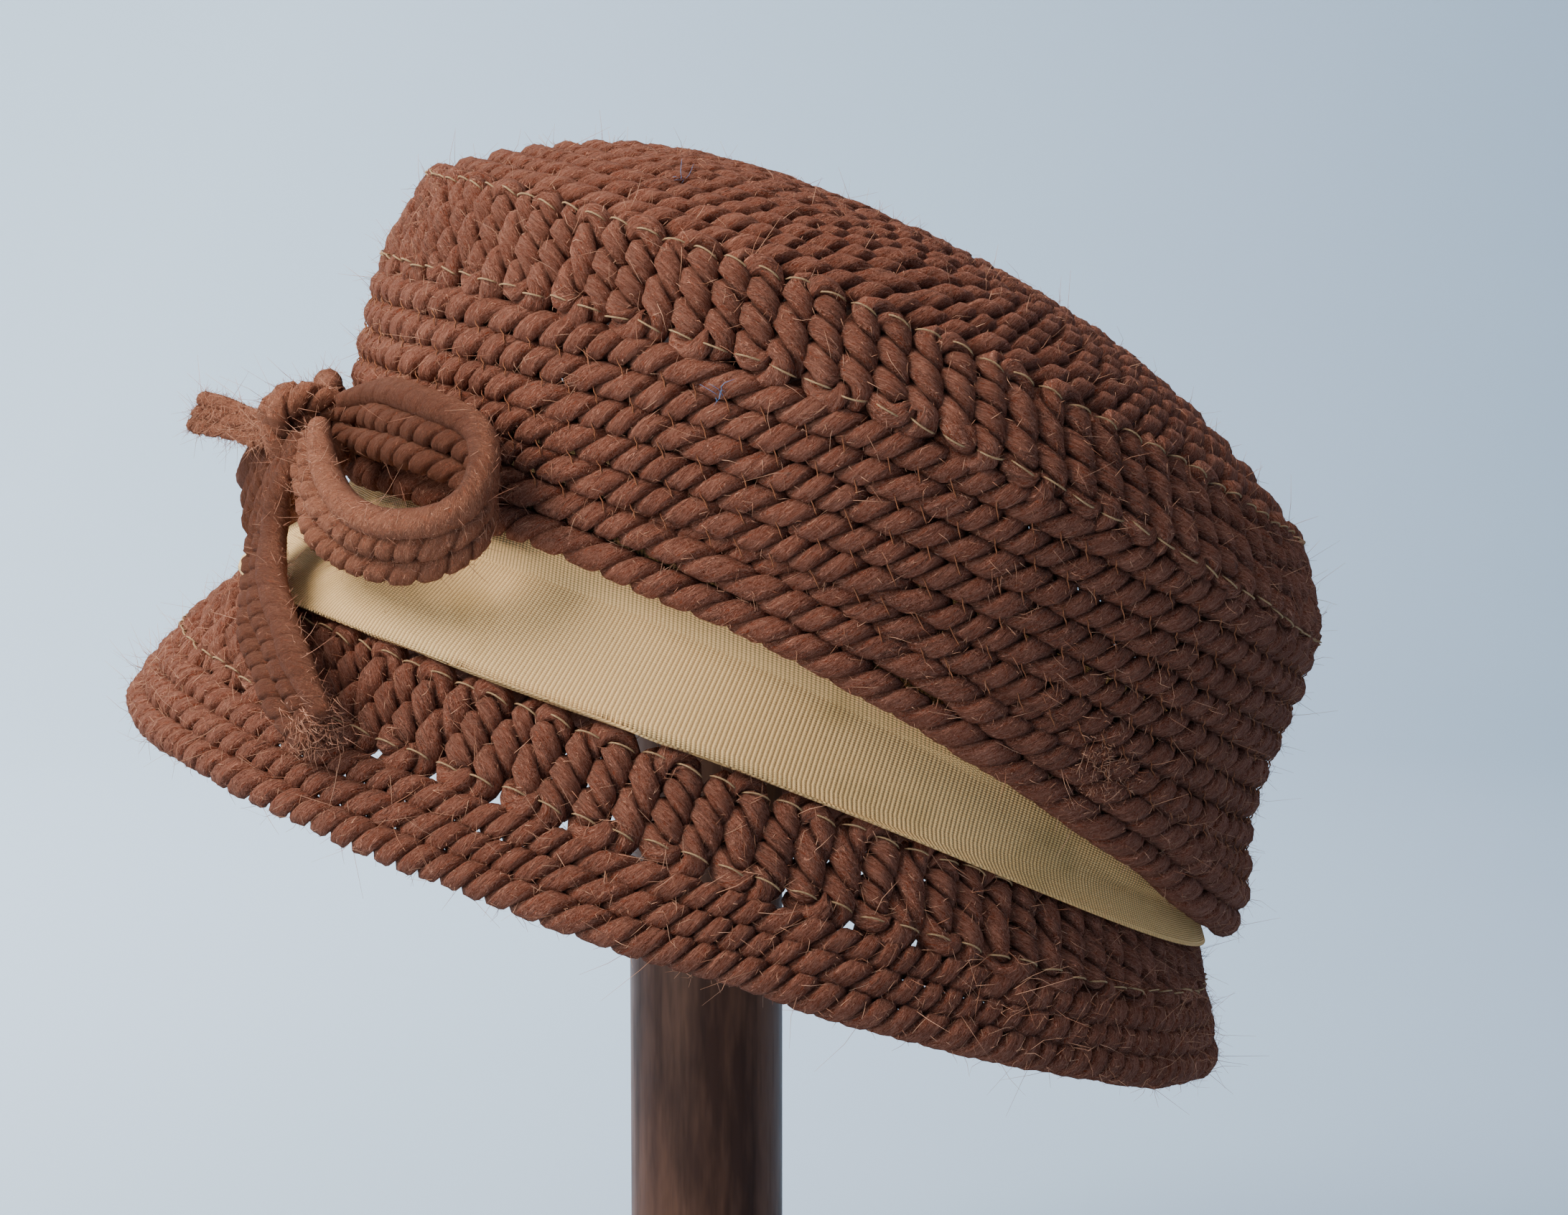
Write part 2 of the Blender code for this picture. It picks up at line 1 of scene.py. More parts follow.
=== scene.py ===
"""Looks for the cloche hat of twisted wool cord on its post stand: every row and ladder braid is laid as real
two-ply cord, with a grosgrain ribbon, a bow of felted cords, sewing threads and loose wool fibres."""

import math
from collections import namedtuple

import bpy
import numpy as np
from mathutils import Matrix, Vector


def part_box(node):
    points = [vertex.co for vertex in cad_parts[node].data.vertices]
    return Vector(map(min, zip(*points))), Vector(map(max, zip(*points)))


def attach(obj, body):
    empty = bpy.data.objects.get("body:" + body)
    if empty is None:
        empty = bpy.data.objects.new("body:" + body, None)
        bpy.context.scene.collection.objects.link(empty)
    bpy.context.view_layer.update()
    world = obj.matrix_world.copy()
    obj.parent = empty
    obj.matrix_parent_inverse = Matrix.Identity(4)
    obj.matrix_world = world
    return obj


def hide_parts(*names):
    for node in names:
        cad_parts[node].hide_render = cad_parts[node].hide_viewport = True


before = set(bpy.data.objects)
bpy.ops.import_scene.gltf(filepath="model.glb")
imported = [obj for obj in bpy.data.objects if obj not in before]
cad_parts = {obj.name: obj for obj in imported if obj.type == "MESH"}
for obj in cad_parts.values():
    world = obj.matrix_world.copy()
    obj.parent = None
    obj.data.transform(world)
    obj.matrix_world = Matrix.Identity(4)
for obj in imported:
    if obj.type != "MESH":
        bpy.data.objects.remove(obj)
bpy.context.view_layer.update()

# Crown and brim, in metres, as the solids have them
CROWN_HALF_LENGTH = 0.104
CROWN_HALF_WIDTH = 0.094
CROWN_WALL_HEIGHT = 0.0688
TIP_RISE = 0.0204
TIP_SHIFT = 0.011
BRIM_HEIGHT = 0.037
BRIM_SPREAD = 0.0198
BRIM_TUCK = 0.0117
BRIM_ROWS_SHARE = 0.415
HAT_TILT = math.radians(20.7)
HAT_BACK = 0.0049
RIM_CLEARANCE = 0.1

# Twisted cord
CORD_RADIUS = 0.0033
TWIST = 0.0123
CORD_STEP = 0.00115
ROW_PITCH = 0.0062
LOW_ROW_PITCH = 0.0064
TIP_PITCH = 0.0061
ROUND_POINTS = 900

# Ladder braids, with the levels of the wall that their foot and top reach
CROWN_LEGS = 96
BRIM_LEGS = 100
CROWN_LADDER_FOOT = 3.696
BRIM_LADDER_FOOT = 0.3734
BRIM_LADDER_TOP = 0.985
LADDER_HEIGHT = 0.0245
LADDER_TURN = 0.0031
STITCH_ENDS = (0.0046, LADDER_HEIGHT - 0.0046)

# Thread and loose fibres
THREAD_RADIUS = 0.00018
FIBRE_RADIUS = 0.000055
SHORTEST_FIBRE = 0.0008
LONGEST_FIBRE = 0.0056

# Small things that cling to the crown, as (level, angle in degrees)
SPLICE_PATCH = (1.1, 121.0)
BLUE_ON_SIDE = (3.55, 71.5)
BLUE_ON_TIP = (0.193, 52.0)

# Ribbon
RIBS = 700
RIB_HEIGHT = 0.00022
RIB_LEAN = 0.16
RIBBON_WIDTH = 0.038
RIBBON_THICKNESS = 0.0008
RIBBON_TUCK = 0.003

# Bow
STRAP_WIDTH = 0.017
BOW_CORD_RADIUS = 0.0029
BOW_ANGLE = math.radians(16.0)
BOW_HEIGHT = 0.0625
BOW_STAND_OFF = 0.0112
LOOP_REACH = 0.062
FAR_LOOP_SAG = math.radians(14.1)
TAIL_REACH = 0.058
# Studio and camera
FLOOR_MIDDLE = 0.6
FLOOR_REACH = 1.1
WALL_CURVE = 0.9
WALL_TOP = 2.4
VIEW_CENTRE = Vector((0.0, 0.01454, 0.19165))
VIEW_AZIMUTH = math.radians(87.9)
VIEW_ELEVATION = math.radians(6.49)
VIEW_DISTANCE = 0.7
VIEW_SHIFT_RIGHT = 0.0018
VIEW_SHIFT_UP = 0.0015
LENS = 77.3

# Colour sockets of the mix node, which come after those for numbers and vectors
MIX_FIRST = 6
MIX_SECOND = 7
MIX_RESULT = 2

Ring = namedtuple("Ring", "front back side up_front up_side up_back")
Strap = namedtuple("Strap", "side out up lean width")
Dye = namedtuple("Dye", "pale mid deep across along depth")

WOOLS = {
    "wool": Dye((0.66, 0.285, 0.18), (0.18, 0.034, 0.012), (0.04, 0.006, 0.003), 1.0, 0.3, 0.0007),
    "felted wool": Dye((0.62, 0.26, 0.145), (0.27, 0.078, 0.037), (0.08, 0.018, 0.008), 1.4, 0.8, 0.0007),
    # The loose fibres are the cords' wool, coloured much paler as their painted highlight.
    "loose wool with painted highlight": Dye((0.8, 0.44, 0.27), (0.5, 0.21, 0.115), (0.22, 0.065, 0.03), 1.0, 0.3, 0.0007),
    "loose felt with painted highlight": Dye((0.66, 0.34, 0.21), (0.42, 0.17, 0.1), (0.2, 0.07, 0.036), 1.0, 0.3, 0.0007),
    "blue fibre": Dye((0.2, 0.42, 0.7), (0.1, 0.26, 0.52), (0.04, 0.1, 0.25), 1.0, 0.3, 0.0007),
    "tan thread": Dye((0.52, 0.34, 0.18), (0.38, 0.22, 0.105), (0.15, 0.08, 0.04), 6.0, 1.2, 0.0001),
    "copper thread": Dye((0.42, 0.17, 0.075), (0.3, 0.1, 0.045), (0.12, 0.035, 0.018), 6.0, 1.2, 0.0001),
}
CROWN_TABLE = (
    Ring(0.926, 1.080, 0.968, 0.000, 0.000, 0.000),
    Ring(0.938, 1.083, 0.971, 0.150, 0.172, 0.150),
    Ring(0.953, 1.036, 0.981, 0.300, 0.345, 0.360),
    Ring(0.968, 1.031, 0.991, 0.450, 0.517, 0.630),
    Ring(0.979, 1.029, 1.000, 0.600, 0.690, 0.910),
    Ring(0.976, 1.017, 0.996, 0.680, 0.762, 0.985),
    Ring(0.950, 0.925, 0.915, 0.915, 0.965, 1.200),
    Ring(0.910, 0.882, 0.872, 0.968, 1.000, 1.245),
)
CROWN_LADDER_FROM = 4.0
CROWN_TOP = 7.0
LOWER_EDGE = (1.416, 1.497, 0.689)  # heights at the front, side and back, as shares of the brim's

# A bow loop and the two tails, as shares of their reach from the knot
LOOP_TABLE = (
    Strap(0.138, -0.084, 0.048, 0, 0.55),
    Strap(0.253, -0.134, 0.076, 0, 0.85),
    Strap(0.439, -0.160, 0.106, 0, 1.00),
    Strap(0.663, -0.232, 0.132, 5, 1.00),
    Strap(0.815, -0.316, 0.127, 18, 1.00),
    Strap(0.927, -0.352, 0.081, 32, 1.00),
    Strap(0.992, -0.352, 0.000, 42, 1.00),
    Strap(1.000, -0.319, -0.080, 45, 1.00),
    Strap(0.960, -0.260, -0.150, 45, 1.00),
    Strap(0.860, -0.186, -0.208, 42, 1.00),
    Strap(0.735, -0.121, -0.230, 36, 1.00),
    Strap(0.595, -0.073, -0.222, 28, 1.00),
    Strap(0.450, -0.040, -0.182, 20, 1.00),
    Strap(0.330, -0.020, -0.118, 12, 0.90),
    Strap(0.215, -0.010, -0.045, 5, 0.75),
)
FRONT_TAIL_TABLE = (
    Strap(0.150, 0.020, -0.050, 0, 0.60),
    Strap(0.140, 0.030, -0.200, 0, 0.75),
    Strap(0.140, 0.012, -0.350, 0, 0.90),
    Strap(0.230, 0.006, -0.485, 0, 1.00),
    Strap(0.450, 0.008, -0.600, 0, 1.00),
    Strap(0.704, -0.020, -0.700, 0, 1.00),
    Strap(0.930, -0.075, -0.782, 0, 0.90),
    Strap(1.090, -0.125, -0.835, 0, 0.62),
)
SIDE_TAIL_TABLE = (
    Strap(-0.141, 0.040, -0.080, 0, 0.50),
    Strap(-0.260, 0.063, -0.120, 0, 0.50),
    Strap(-0.380, 0.105, -0.138, 0, 0.50),
    Strap(-0.500, 0.150, -0.155, 0, 0.50),
    Strap(-0.620, 0.190, -0.170, 0, 0.50),
)

# Half of the cord's section, as shares of its radius: one ply from groove to groove. The third number is how
# deep in a groove each point lies, which sets how much painted shade it gets.
PLY_ROUND = (
    (0.00, -0.4, 1.0),
    (0.09, -0.56, 0.4),
    (0.46, -0.83, 0.0),
    (0.84, -0.6, 0.0),
    (1.00, 0.00, 0.0),
    (0.84, 0.6, 0.0),
    (0.46, 0.83, 0.0),
    (0.09, 0.56, 0.4),
)


def unit(vectors):
    return vectors / np.maximum(np.linalg.norm(vectors, axis=-1, keepdims=True), 1e-12)


def all_round(count):
    """Even angles once round."""
    return np.linspace(0, math.tau, count, endpoint=False)


def directions(path, closed=False):
    """The way along a path at each of its points."""
    if closed:
        return unit(np.roll(path, -1, axis=0) - np.roll(path, 1, axis=0))
    return unit(np.gradient(path, axis=0))


def run_along(points):
    """How far along its line each point lies. A line's points are on the last axis but one."""
    steps = np.linalg.norm(np.diff(points, axis=-2), axis=-1)
    return np.concatenate([np.zeros((*steps.shape[:-1], 1)), np.cumsum(steps, axis=-1)], axis=-1)


def round_values(front, side, back, angle):
    """A value round the hat that is front at 0, side at a quarter turn and back at a half turn."""
    mean = (front + back) / 2
    return (mean + side) / 2 + (front - back) / 2 * np.cos(angle) + (mean - side) / 2 * np.cos(2 * angle)


def ring_points(rings, angle):
    """Points of rings of the hat. Angle 0 is the front, -Y, and a quarter turn is the +X side."""
    front, back, side, z_front, z_side, z_back = np.moveaxis(rings, -1, 0)
    x = side * np.sin(angle)
    y = (back - front) / 2 - (back + front) / 2 * np.cos(angle)
    z = round_values(z_front, z_side, z_back, angle)
    return np.stack(np.broadcast_arrays(x, y, z), axis=-1)


def through_rows(rows, level):
    """The values at a level along a list of rows, on a smooth curve through them."""
    rows = np.asarray(rows, float)
    last = len(rows) - 1
    index = np.clip(np.floor(level).astype(int), 0, last - 1)
    share = (level - index)[..., None]
    before = rows[np.maximum(index - 1, 0)]
    start = rows[index]
    end = rows[index + 1]
    after = rows[np.minimum(index + 2, last)]
    slope_in = (end - before) / 2
    slope_out = (after - start) / 2
    cube = (2 * start - 2 * end + slope_in + slope_out) * share**3
    square = (3 * end - 3 * start - 2 * slope_in - slope_out) * share**2
    return cube + square + slope_in * share + start


def crown_rings():
    table = np.array(CROWN_TABLE)
    half_axes = (CROWN_HALF_LENGTH, CROWN_HALF_LENGTH, CROWN_HALF_WIDTH)
    heights = BRIM_HEIGHT * np.array(LOWER_EDGE) + table[:, 3:] * CROWN_WALL_HEIGHT
    return np.concatenate([table[:, :3] * half_axes, heights], axis=1)


CROWN_RINGS = crown_rings()


def brim_rings():
    """The brim's rim and its top."""
    edge = CROWN_RINGS[0]
    front = edge[0] + 0.338 * BRIM_SPREAD
    back = edge[1] - BRIM_TUCK
    side = edge[2] - 0.05 * BRIM_SPREAD
    top = (front, back, side, 0.838 * BRIM_HEIGHT, BRIM_HEIGHT, 0.851 * BRIM_HEIGHT)
    rim = (
        front + 0.884 * BRIM_SPREAD,
        back + 0.93 * BRIM_SPREAD,
        side + BRIM_SPREAD,
        -0.162 * BRIM_HEIGHT,
        0.041 * BRIM_HEIGHT,
        0.054 * BRIM_HEIGHT,
    )
    return np.array(rim), np.array(top)


RIM_RING, BRIM_TOP_RING = brim_rings()


def crown_wall(level, angle):
    """The crown's outer face, from its lower edge at level 0 to its top at 7."""
    return ring_points(through_rows(CROWN_RINGS, level), angle)


def brim_wall(level, angle):
    """The brim's outer face, from the rim at level 0 to its top at 1, bulging between them."""
    ring = RIM_RING + (BRIM_TOP_RING - RIM_RING) * level[..., None]
    swell = np.sin(math.pi * np.clip(level, 0.0, 1.0))[..., None]
    bulge = np.array([0.0024, 0.0008, 0.0008, 0.0, 0.0, 0.0])
    return ring_points(ring + bulge * swell, angle)


def crown_dome(level, angle):
    """The crown's tip, from its edge at level 0 to its middle at 1."""
    share = 1 - level
    edge = CROWN_RINGS[-1]
    rim = ring_points(edge, angle)
    middle = (edge[1] - edge[0]) / 2
    centre = middle - TIP_SHIFT
    mean = (edge[3] + edge[5]) / 4 + edge[4] / 2
    swing = (edge[3] - edge[5]) / 2 * np.cos(angle)
    warp = rim[..., 2] - mean - swing
    height = mean + swing * share + warp * share**2 + TIP_RISE * (1 - np.abs(share) ** 2.8)
    x = rim[..., 0] * share
    y = centre + (rim[..., 1] - centre) * share
    return np.stack(np.broadcast_arrays(x, y, height), axis=-1)


def outward(wall, level, angle, step=0.02):
    """The outward normal of a wall."""
    up = wall(level + step, angle) - wall(level - step, angle)
    round_the_hat = wall(level, angle + 0.01) - wall(level, angle - 0.01)
    return unit(np.cross(round_the_hat, up))


def table_lookup(table, values, wanted):
    """For each line of a rising table, the value at which it reaches the wanted number."""
    lines = np.arange(len(table))
    index = np.clip((table < wanted[:, None]).sum(axis=1) - 1, 0, table.shape[1] - 2)
    low = table[lines, index]
    high = table[lines, index + 1]
    share = (wanted - low) / np.maximum(high - low, 1e-9)
    return values[index] + share * (values[1] - values[0])


def climb(wall, angle, start, stop):
    """How far up the wall each level from start to stop lies, at each angle."""
    levels = np.linspace(start, stop, 61)
    return levels, run_along(wall(levels[None, :], angle[:, None]))


def at_distance(wall, angle, distance, start, stop):
    """The levels at a distance up the wall from start."""
    levels, run = climb(wall, angle, start, stop)
    return table_lookup(run, levels, distance)


def crown_level(angle, up):
    """The levels of the crown's side at a distance up from its lower edge."""
    return at_distance(crown_wall, angle, up, 0.0, CROWN_LADDER_FROM)


def at_height(wall, angle, height, stop, depth):
    """The points of a wall at given heights, depth below its outer face."""
    levels = np.linspace(0.0, stop, 61)
    grid = wall(levels[None, :], angle[:, None])
    grid = grid - outward(wall, np.broadcast_to(levels, grid.shape[:2]), angle[:, None]) * depth
    level = table_lookup(grid[..., 2], levels, height)
    return wall(level, angle) - outward(wall, level, angle) * depth


def drift(rng, run, total, size, wavelength):
    """A slow wander along a cord that ends as it began."""
    value = np.zeros_like(run)
    for _ in range(4):
        waves = max(1, round(total / wavelength * rng.uniform(0.5, 1.6)))
        value += np.sin(math.tau * (waves * run / total + rng.random()))
    return value * size / 2


class Bundle:
    """Parts of a mesh gathered up to become one piece. Each point carries its way out of the cord, its place
    across and along its strand in millimetres, and its share of painted shade for grooves and hollows."""

    def __init__(self):
        self.points, self.ways, self.strands, self.groove_shades = [], [], [], []
        self.corners, self.sizes = [], []
        self.count = 0

    def add(self, points, faces, ways, strands, groove_shades):
        self.points.append(points.reshape(-1, 3))
        self.ways.append(ways.reshape(-1, 3))
        self.strands.append(strands.reshape(-1, 3))
        self.groove_shades.append(groove_shades.ravel())
        for block in faces:
            self.corners.append((block + self.count).ravel())
            self.sizes.append(np.full(len(block), block.shape[1]))
        self.count += len(self.points[-1])

    def mesh(self, name):
        mesh = bpy.data.meshes.new(name)
        points = np.concatenate(self.points).astype(np.float32)
        corners = np.concatenate(self.corners).astype(np.int32)
        sizes = np.concatenate(self.sizes)
        starts = np.concatenate([[0], np.cumsum(sizes)[:-1]]).astype(np.int32)
        mesh.vertices.add(len(points))
        mesh.vertices.foreach_set("co", points.ravel())
        mesh.loops.add(len(corners))
        mesh.loops.foreach_set("vertex_index", corners)
        mesh.polygons.add(len(starts))
        mesh.polygons.foreach_set("loop_start", starts)
        strand = mesh.attributes.new("strand", "FLOAT_VECTOR", "POINT")
        strand.data.foreach_set("vector", np.concatenate(self.strands).astype(np.float32).ravel())
        groove_shade = mesh.attributes.new("groove_shade", "FLOAT", "POINT")
        groove_shade.data.foreach_set("value", np.concatenate(self.groove_shades).astype(np.float32))
        mesh.update(calc_edges=True)
        mesh.shade_smooth()
        return mesh


def hat_matrix():
    """Where the hat stands: leaning back on its post, its rim clear of the floor."""
    leaning = Matrix.Rotation(-HAT_TILT, 4, "X")
    lowest = min((leaning @ Vector(point)).z for point in ring_points(RIM_RING, all_round(48)))
    return Matrix.Translation((0.0, -HAT_BACK, RIM_CLEARANCE - lowest)) @ leaning


HAT = hat_matrix()


def link_object(name, data):
    made = bpy.data.objects.new(name, data)
    bpy.context.scene.collection.objects.link(made)
    return made


def set_out(name, bundle, material, replaces=(), on_hat=True):
    """Puts a bundle in the scene as one piece of the hat or of its stand."""
    mesh = bundle.mesh(name)
    piece = link_object(name, mesh)
    if on_hat:
        mesh.transform(HAT)
    mesh.materials.append(material)
    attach(piece, "root")
    if replaces:
        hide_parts(*replaces)
    return piece


def even_steps(path, carried, step, closed):
    """A path and what it carries, resampled at even steps, with the distance run and the total."""
    if closed:
        path = np.concatenate([path, path[:1]])
        carried = [np.concatenate([values, values[:1]]) for values in carried]
    run = run_along(path)
    total = run[-1]
    count = max(int(round(total / step)), 4)
    places = np.arange(count) * total / count if closed else np.linspace(0, total, count + 1)
    resampled = []
    for values in [path, *carried]:
        columns = values.reshape(len(values), -1).T
        sampled = np.stack([np.interp(places, run, column) for column in columns], axis=-1)
        resampled.append(sampled if values.ndim > 1 else sampled[:, 0])
    return resampled[0], resampled[1:], places, total


def ply_section(felt):
    """The cord's section, both plies. Felt rounds it towards a plain cord."""
    half = np.array(PLY_ROUND)
    other = half * (-1, -1, 1)
    section = np.concatenate([half, other])
    rounded = unit(section[:, :2]) * 0.95
    section[:, :2] += (rounded - section[:, :2]) * felt
    section[:, 2] *= 1 - felt * 0.9
    return section


def tube_faces(rings, sides, closed):
    """The faces of a tube of rings, with a fan over each end unless it closes on itself."""
    ring = np.arange(rings if closed else rings - 1)[:, None]
    side = np.arange(sides)[None, :]
    following = (ring + 1) % rings
    beyond = (side + 1) % sides
    low = [ring * sides + side, ring * sides + beyond]
    quads = np.stack([*low, following * sides + beyond, following * sides + side], axis=-1).reshape(-1, 4)
    if closed:
        return [quads]
    fan = np.arange(1, sides - 1)
    start = np.stack([np.zeros_like(fan), fan + 1, fan], axis=-1)
    end = np.stack([np.zeros_like(fan), fan, fan + 1], axis=-1) + (rings - 1) * sides
    return [quads, start, end]


def lay_cord(
    bundle, rng, path, normals, radius, closed=False, felt=0.0, twist=TWIST, pinch=None, wander=0.00018
):
    """Lays a two-ply cord along a path on a wall. Radius is one number or one for each point of the path."""
    radii = np.broadcast_to(radius, len(path)).astype(float)
    carried = [normals, radii] + ([] if pinch is None else [pinch])
    path, carried, run, total = even_steps(path, carried, CORD_STEP, closed)
    normals, radii = carried[0], carried[1]
    if pinch is not None:
        radii = radii * (1 - carried[2])
    along = directions(path, closed)
    across = unit(np.cross(normals, along))
    out = np.cross(along, across)
    path = path + across * drift(rng, run, total, wander, 0.05)[:, None]
    path = path + out * drift(rng, run, total, wander * 0.7, 0.035)[:, None]
    radii = radii * (1 + drift(rng, run, total, 0.045, 0.022))
    turns = total / twist
    if closed:
        turns = round(turns)
    phase = -math.tau * (turns * run / total + rng.random()) + drift(rng, run, total, 0.8, 0.05)
    section = ply_section(felt)
    x = section[None, :, 0]
    y = section[None, :, 1]
    cos, sin = np.cos(phase)[:, None], np.sin(phase)[:, None]
    to_side = x * cos - y * sin
    to_front = x * sin + y * cos
    ways = across[:, None] * to_side[..., None] + out[:, None] * to_front[..., None]
    points = path[:, None] + ways * radii[:, None, None]
    start = rng.uniform(0, 500)
    strands = np.empty(points.shape)
    strands[..., 0] = x * radii[:, None] * 1000
    strands[..., 1] = y * radii[:, None] * 1000
    strands[..., 2] = (run * 1000 + start)[:, None]
    # Painted shade: darker deep in the grooves between the plies and on the side that faces into the wall.
    groove_shades = np.clip(section[None, :, 2] * 0.9 + np.clip(0.25 - to_front, 0, 1) * 0.75, 0, 1)
    bundle.add(points, tube_faces(len(path), len(section), closed), unit(ways), strands, groove_shades)


def lay_thread(bundle, rng, path, radius, sides=6):
    """A short length of sewing thread through a few points."""
    path = np.asarray(path, float)
    along = directions(path)
    helper = np.array([0.123, 0.456, 0.881])
    across = unit(np.cross(along, helper))
    out = np.cross(along, across)
    angle = all_round(sides)
    ways = across[:, None] * np.cos(angle)[None, :, None] + out[:, None] * np.sin(angle)[None, :, None]
    radii = np.full(len(path), radius)
    radii[[0, -1]] *= 0.6
    points = path[:, None] + ways * radii[:, None, None]
    run = run_along(path)
    strands = np.empty(points.shape)
    strands[..., 0] = np.cos(angle)[None, :] * radius * 1000
    strands[..., 1] = np.sin(angle)[None, :] * radius * 1000
    strands[..., 2] = (run * 1000 + rng.uniform(0, 500))[:, None]
    groove_shades = np.zeros(points.shape[:2])
    # Painted shade at both ends, where the thread sinks into the wool.
    groove_shades[[0, -1]] = 0.6
    bundle.add(points, tube_faces(len(path), sides, False), ways, strands, groove_shades)


def row_on(wall, angle, level, depth, step=0.02):
    """A path along a wall, its cord's middle depth below the outer face, with the wall's normals."""
    normals = outward(wall, level, angle, step)
    return wall(level, angle) - normals * np.broadcast_to(depth, angle.shape)[:, None], normals


def crown_rows(rng):
    """The rows of the crown's side: upper ones parallel to the ladder, two along the lower edge, and short
    ones that fill in at the back and tuck under those two."""
    bundle = Bundle()
    angle = all_round(ROUND_POINTS)
    height = climb(crown_wall, angle, 0.0, CROWN_LADDER_FROM)[1][:, -1]
    seams = []
    for row in range(9):
        room = (height - 2 * LOW_ROW_PITCH - row * ROW_PITCH) / ROW_PITCH
        kept = room > 0.03
        if not kept.any():
            continue
        fill = np.clip(room, 0, 1)
        up = height - (row + 0.5 * fill) * ROW_PITCH
        radius = CORD_RADIUS * (0.49 + 0.56 * np.sqrt(fill))
        depth = CORD_RADIUS + (1 - fill) * ROW_PITCH * 0.26
        path, normals = row_on(crown_wall, angle, crown_level(angle, up), depth)
        seams.append((up - ROW_PITCH * 0.5, fill))
        whole = bool(kept.all())
        lay_cord(bundle, rng, path[kept], normals[kept], radius[kept], closed=whole, felt=0.14)
    for row in range(2):
        up = np.full_like(angle, (row + 0.5) * LOW_ROW_PITCH)
        path, normals = row_on(crown_wall, angle, crown_level(angle, up), CORD_RADIUS)
        radius, turn = CORD_RADIUS * 1.04, TWIST * 1.1
        lay_cord(bundle, rng, path, normals, radius, closed=True, felt=0.38, twist=turn, wander=0.0003)
    return bundle, (angle, seams)


def brim_rows(rng):
    bundle = Bundle()
    angle = all_round(ROUND_POINTS)
    for row in range(3):
        level = np.full_like(angle, BRIM_ROWS_SHARE * (row + 0.5) / 3)
        radius = CORD_RADIUS * (1.02 if row else 1.04)
        path, normals = row_on(brim_wall, angle, level, radius, 0.01)
        turn = TWIST * 0.84
        lay_cord(bundle, rng, path, normals, radius, closed=True, felt=0.2, twist=turn, wander=0.00025)
    return bundle


def crown_coil(rng):
    """The crown's tip: rings of cord inside one another, and a last coil in the smallest."""
    bundle = Bundle()
    reach = (CROWN_RINGS[-1][2] + (CROWN_RINGS[-1][0] + CROWN_RINGS[-1][1]) / 2) / 2
    pitch = TIP_PITCH / reach
    angle = all_round(700)
    share = 1 - 0.4 * pitch
    while share > 1.9 * pitch:
        level = np.full_like(angle, 1 - share)
        room = np.linalg.norm(crown_dome(level, angle) - crown_dome(level + pitch, angle), axis=1)
        radius = np.clip(room * 0.53, CORD_RADIUS, CORD_RADIUS * 1.2)
        path, normals = row_on(crown_dome, angle, level, radius, 0.004)
        lay_cord(bundle, rng, path, normals, radius, closed=True, felt=0.12, wander=0.00025)
        share -= pitch
    sweep = np.linspace(0, math.tau * (share / pitch + 0.75), 260)
    level = 1 - share - pitch + pitch * sweep / math.tau
    path, normals = row_on(crown_dome, sweep, level, CORD_RADIUS, 0.004)
    lay_cord(bundle, rng, path, normals, CORD_RADIUS, felt=0.12)
    return bundle


def ladder_level(wall, angle, height, low, high):
    """The wall's level at a height of a ladder braid that fills it from low to high."""
    full = climb(wall, angle, low, high)[1][:, -1]
    return at_distance(wall, angle, height / LADDER_HEIGHT * full, low, high)


def ladder(wall, low, high, legs, rng, step):
    """A ladder braid: one cord up and down the wall, with an arch at the top and a U at the foot of its legs.
    It comes with the paths of the threads that cross the legs."""
    bundle = Bundle()
    lowest = CORD_RADIUS + LADDER_TURN
    highest = LADDER_HEIGHT - CORD_RADIUS - LADDER_TURN
    straight = np.linspace(lowest, highest, 9)
    curve = np.linspace(0, math.pi, 9)[1:-1]
    places, heights = [], []
    for leg in range(legs):
        rising = leg % 2 == 0
        lean = rng.uniform(-0.05, 0.05)
        places.append(leg + 0.5 + lean * np.linspace(-1, 1, 9))
        heights.append(straight if rising else straight[::-1])
        bend = LADDER_TURN * rng.uniform(0.88, 1.14) * np.sin(curve) ** 0.6
        places.append(leg + 1.0 - 0.5 * np.cos(curve))
        heights.append(highest + bend if rising else lowest - bend)
    height = np.concatenate(heights)
    pinch = 0.1 * sum(np.exp(-(((height - end) / 0.0011) ** 2)) for end in STITCH_ENDS)
    angle = np.concatenate(places) * math.tau / legs
    level = ladder_level(wall, angle, height, low, high)
    half_leg = math.pi / legs
    breadth = np.linalg.norm(wall(level, angle + half_leg) - wall(level, angle - half_leg), axis=1)
    radius = np.clip(breadth * 0.57, CORD_RADIUS * 0.98, CORD_RADIUS * 1.22)
    path, normals = row_on(wall, angle, level, radius, step)
    lay_cord(bundle, rng, path, normals, radius, closed=True, felt=0.22, pinch=pinch, wander=0.00012)
    threads = []
    for leg in range(legs):
        for end in STITCH_ENDS:
            threads.append((leg + 0.5, end + rng.uniform(-0.0004, 0.0004)))
    return bundle, ladder_threads(wall, low, high, legs, np.array(threads), rng, step)


def ladder_threads(wall, low, high, legs, threads, rng, step):
    """The thread stitches that lie over the legs of a ladder braid, as short paths."""
    angle = threads[:, 0] * math.tau / legs
    level = ladder_level(wall, angle, threads[:, 1], low, high)
    spot = wall(level, angle)
    normal = outward(wall, level, angle, step)
    side = unit(wall(level, angle + 0.01) - wall(level, angle - 0.01))
    up = np.cross(normal, side)
    radius = CORD_RADIUS * 0.95
    over = radius + THREAD_RADIUS * 0.3
    middle = spot - normal * radius
    bend = np.radians(np.linspace(32, 148, 7))
    paths = []
    for index in range(len(threads)):
        slant = rng.uniform(-0.0007, 0.0004)
        line = middle[index] + side[index] * (np.cos(bend) * over)[:, None]
        line = line + normal[index] * (np.sin(bend) * over)[:, None]
        paths.append(line + up[index] * (slant * np.cos(bend))[:, None])
    return paths


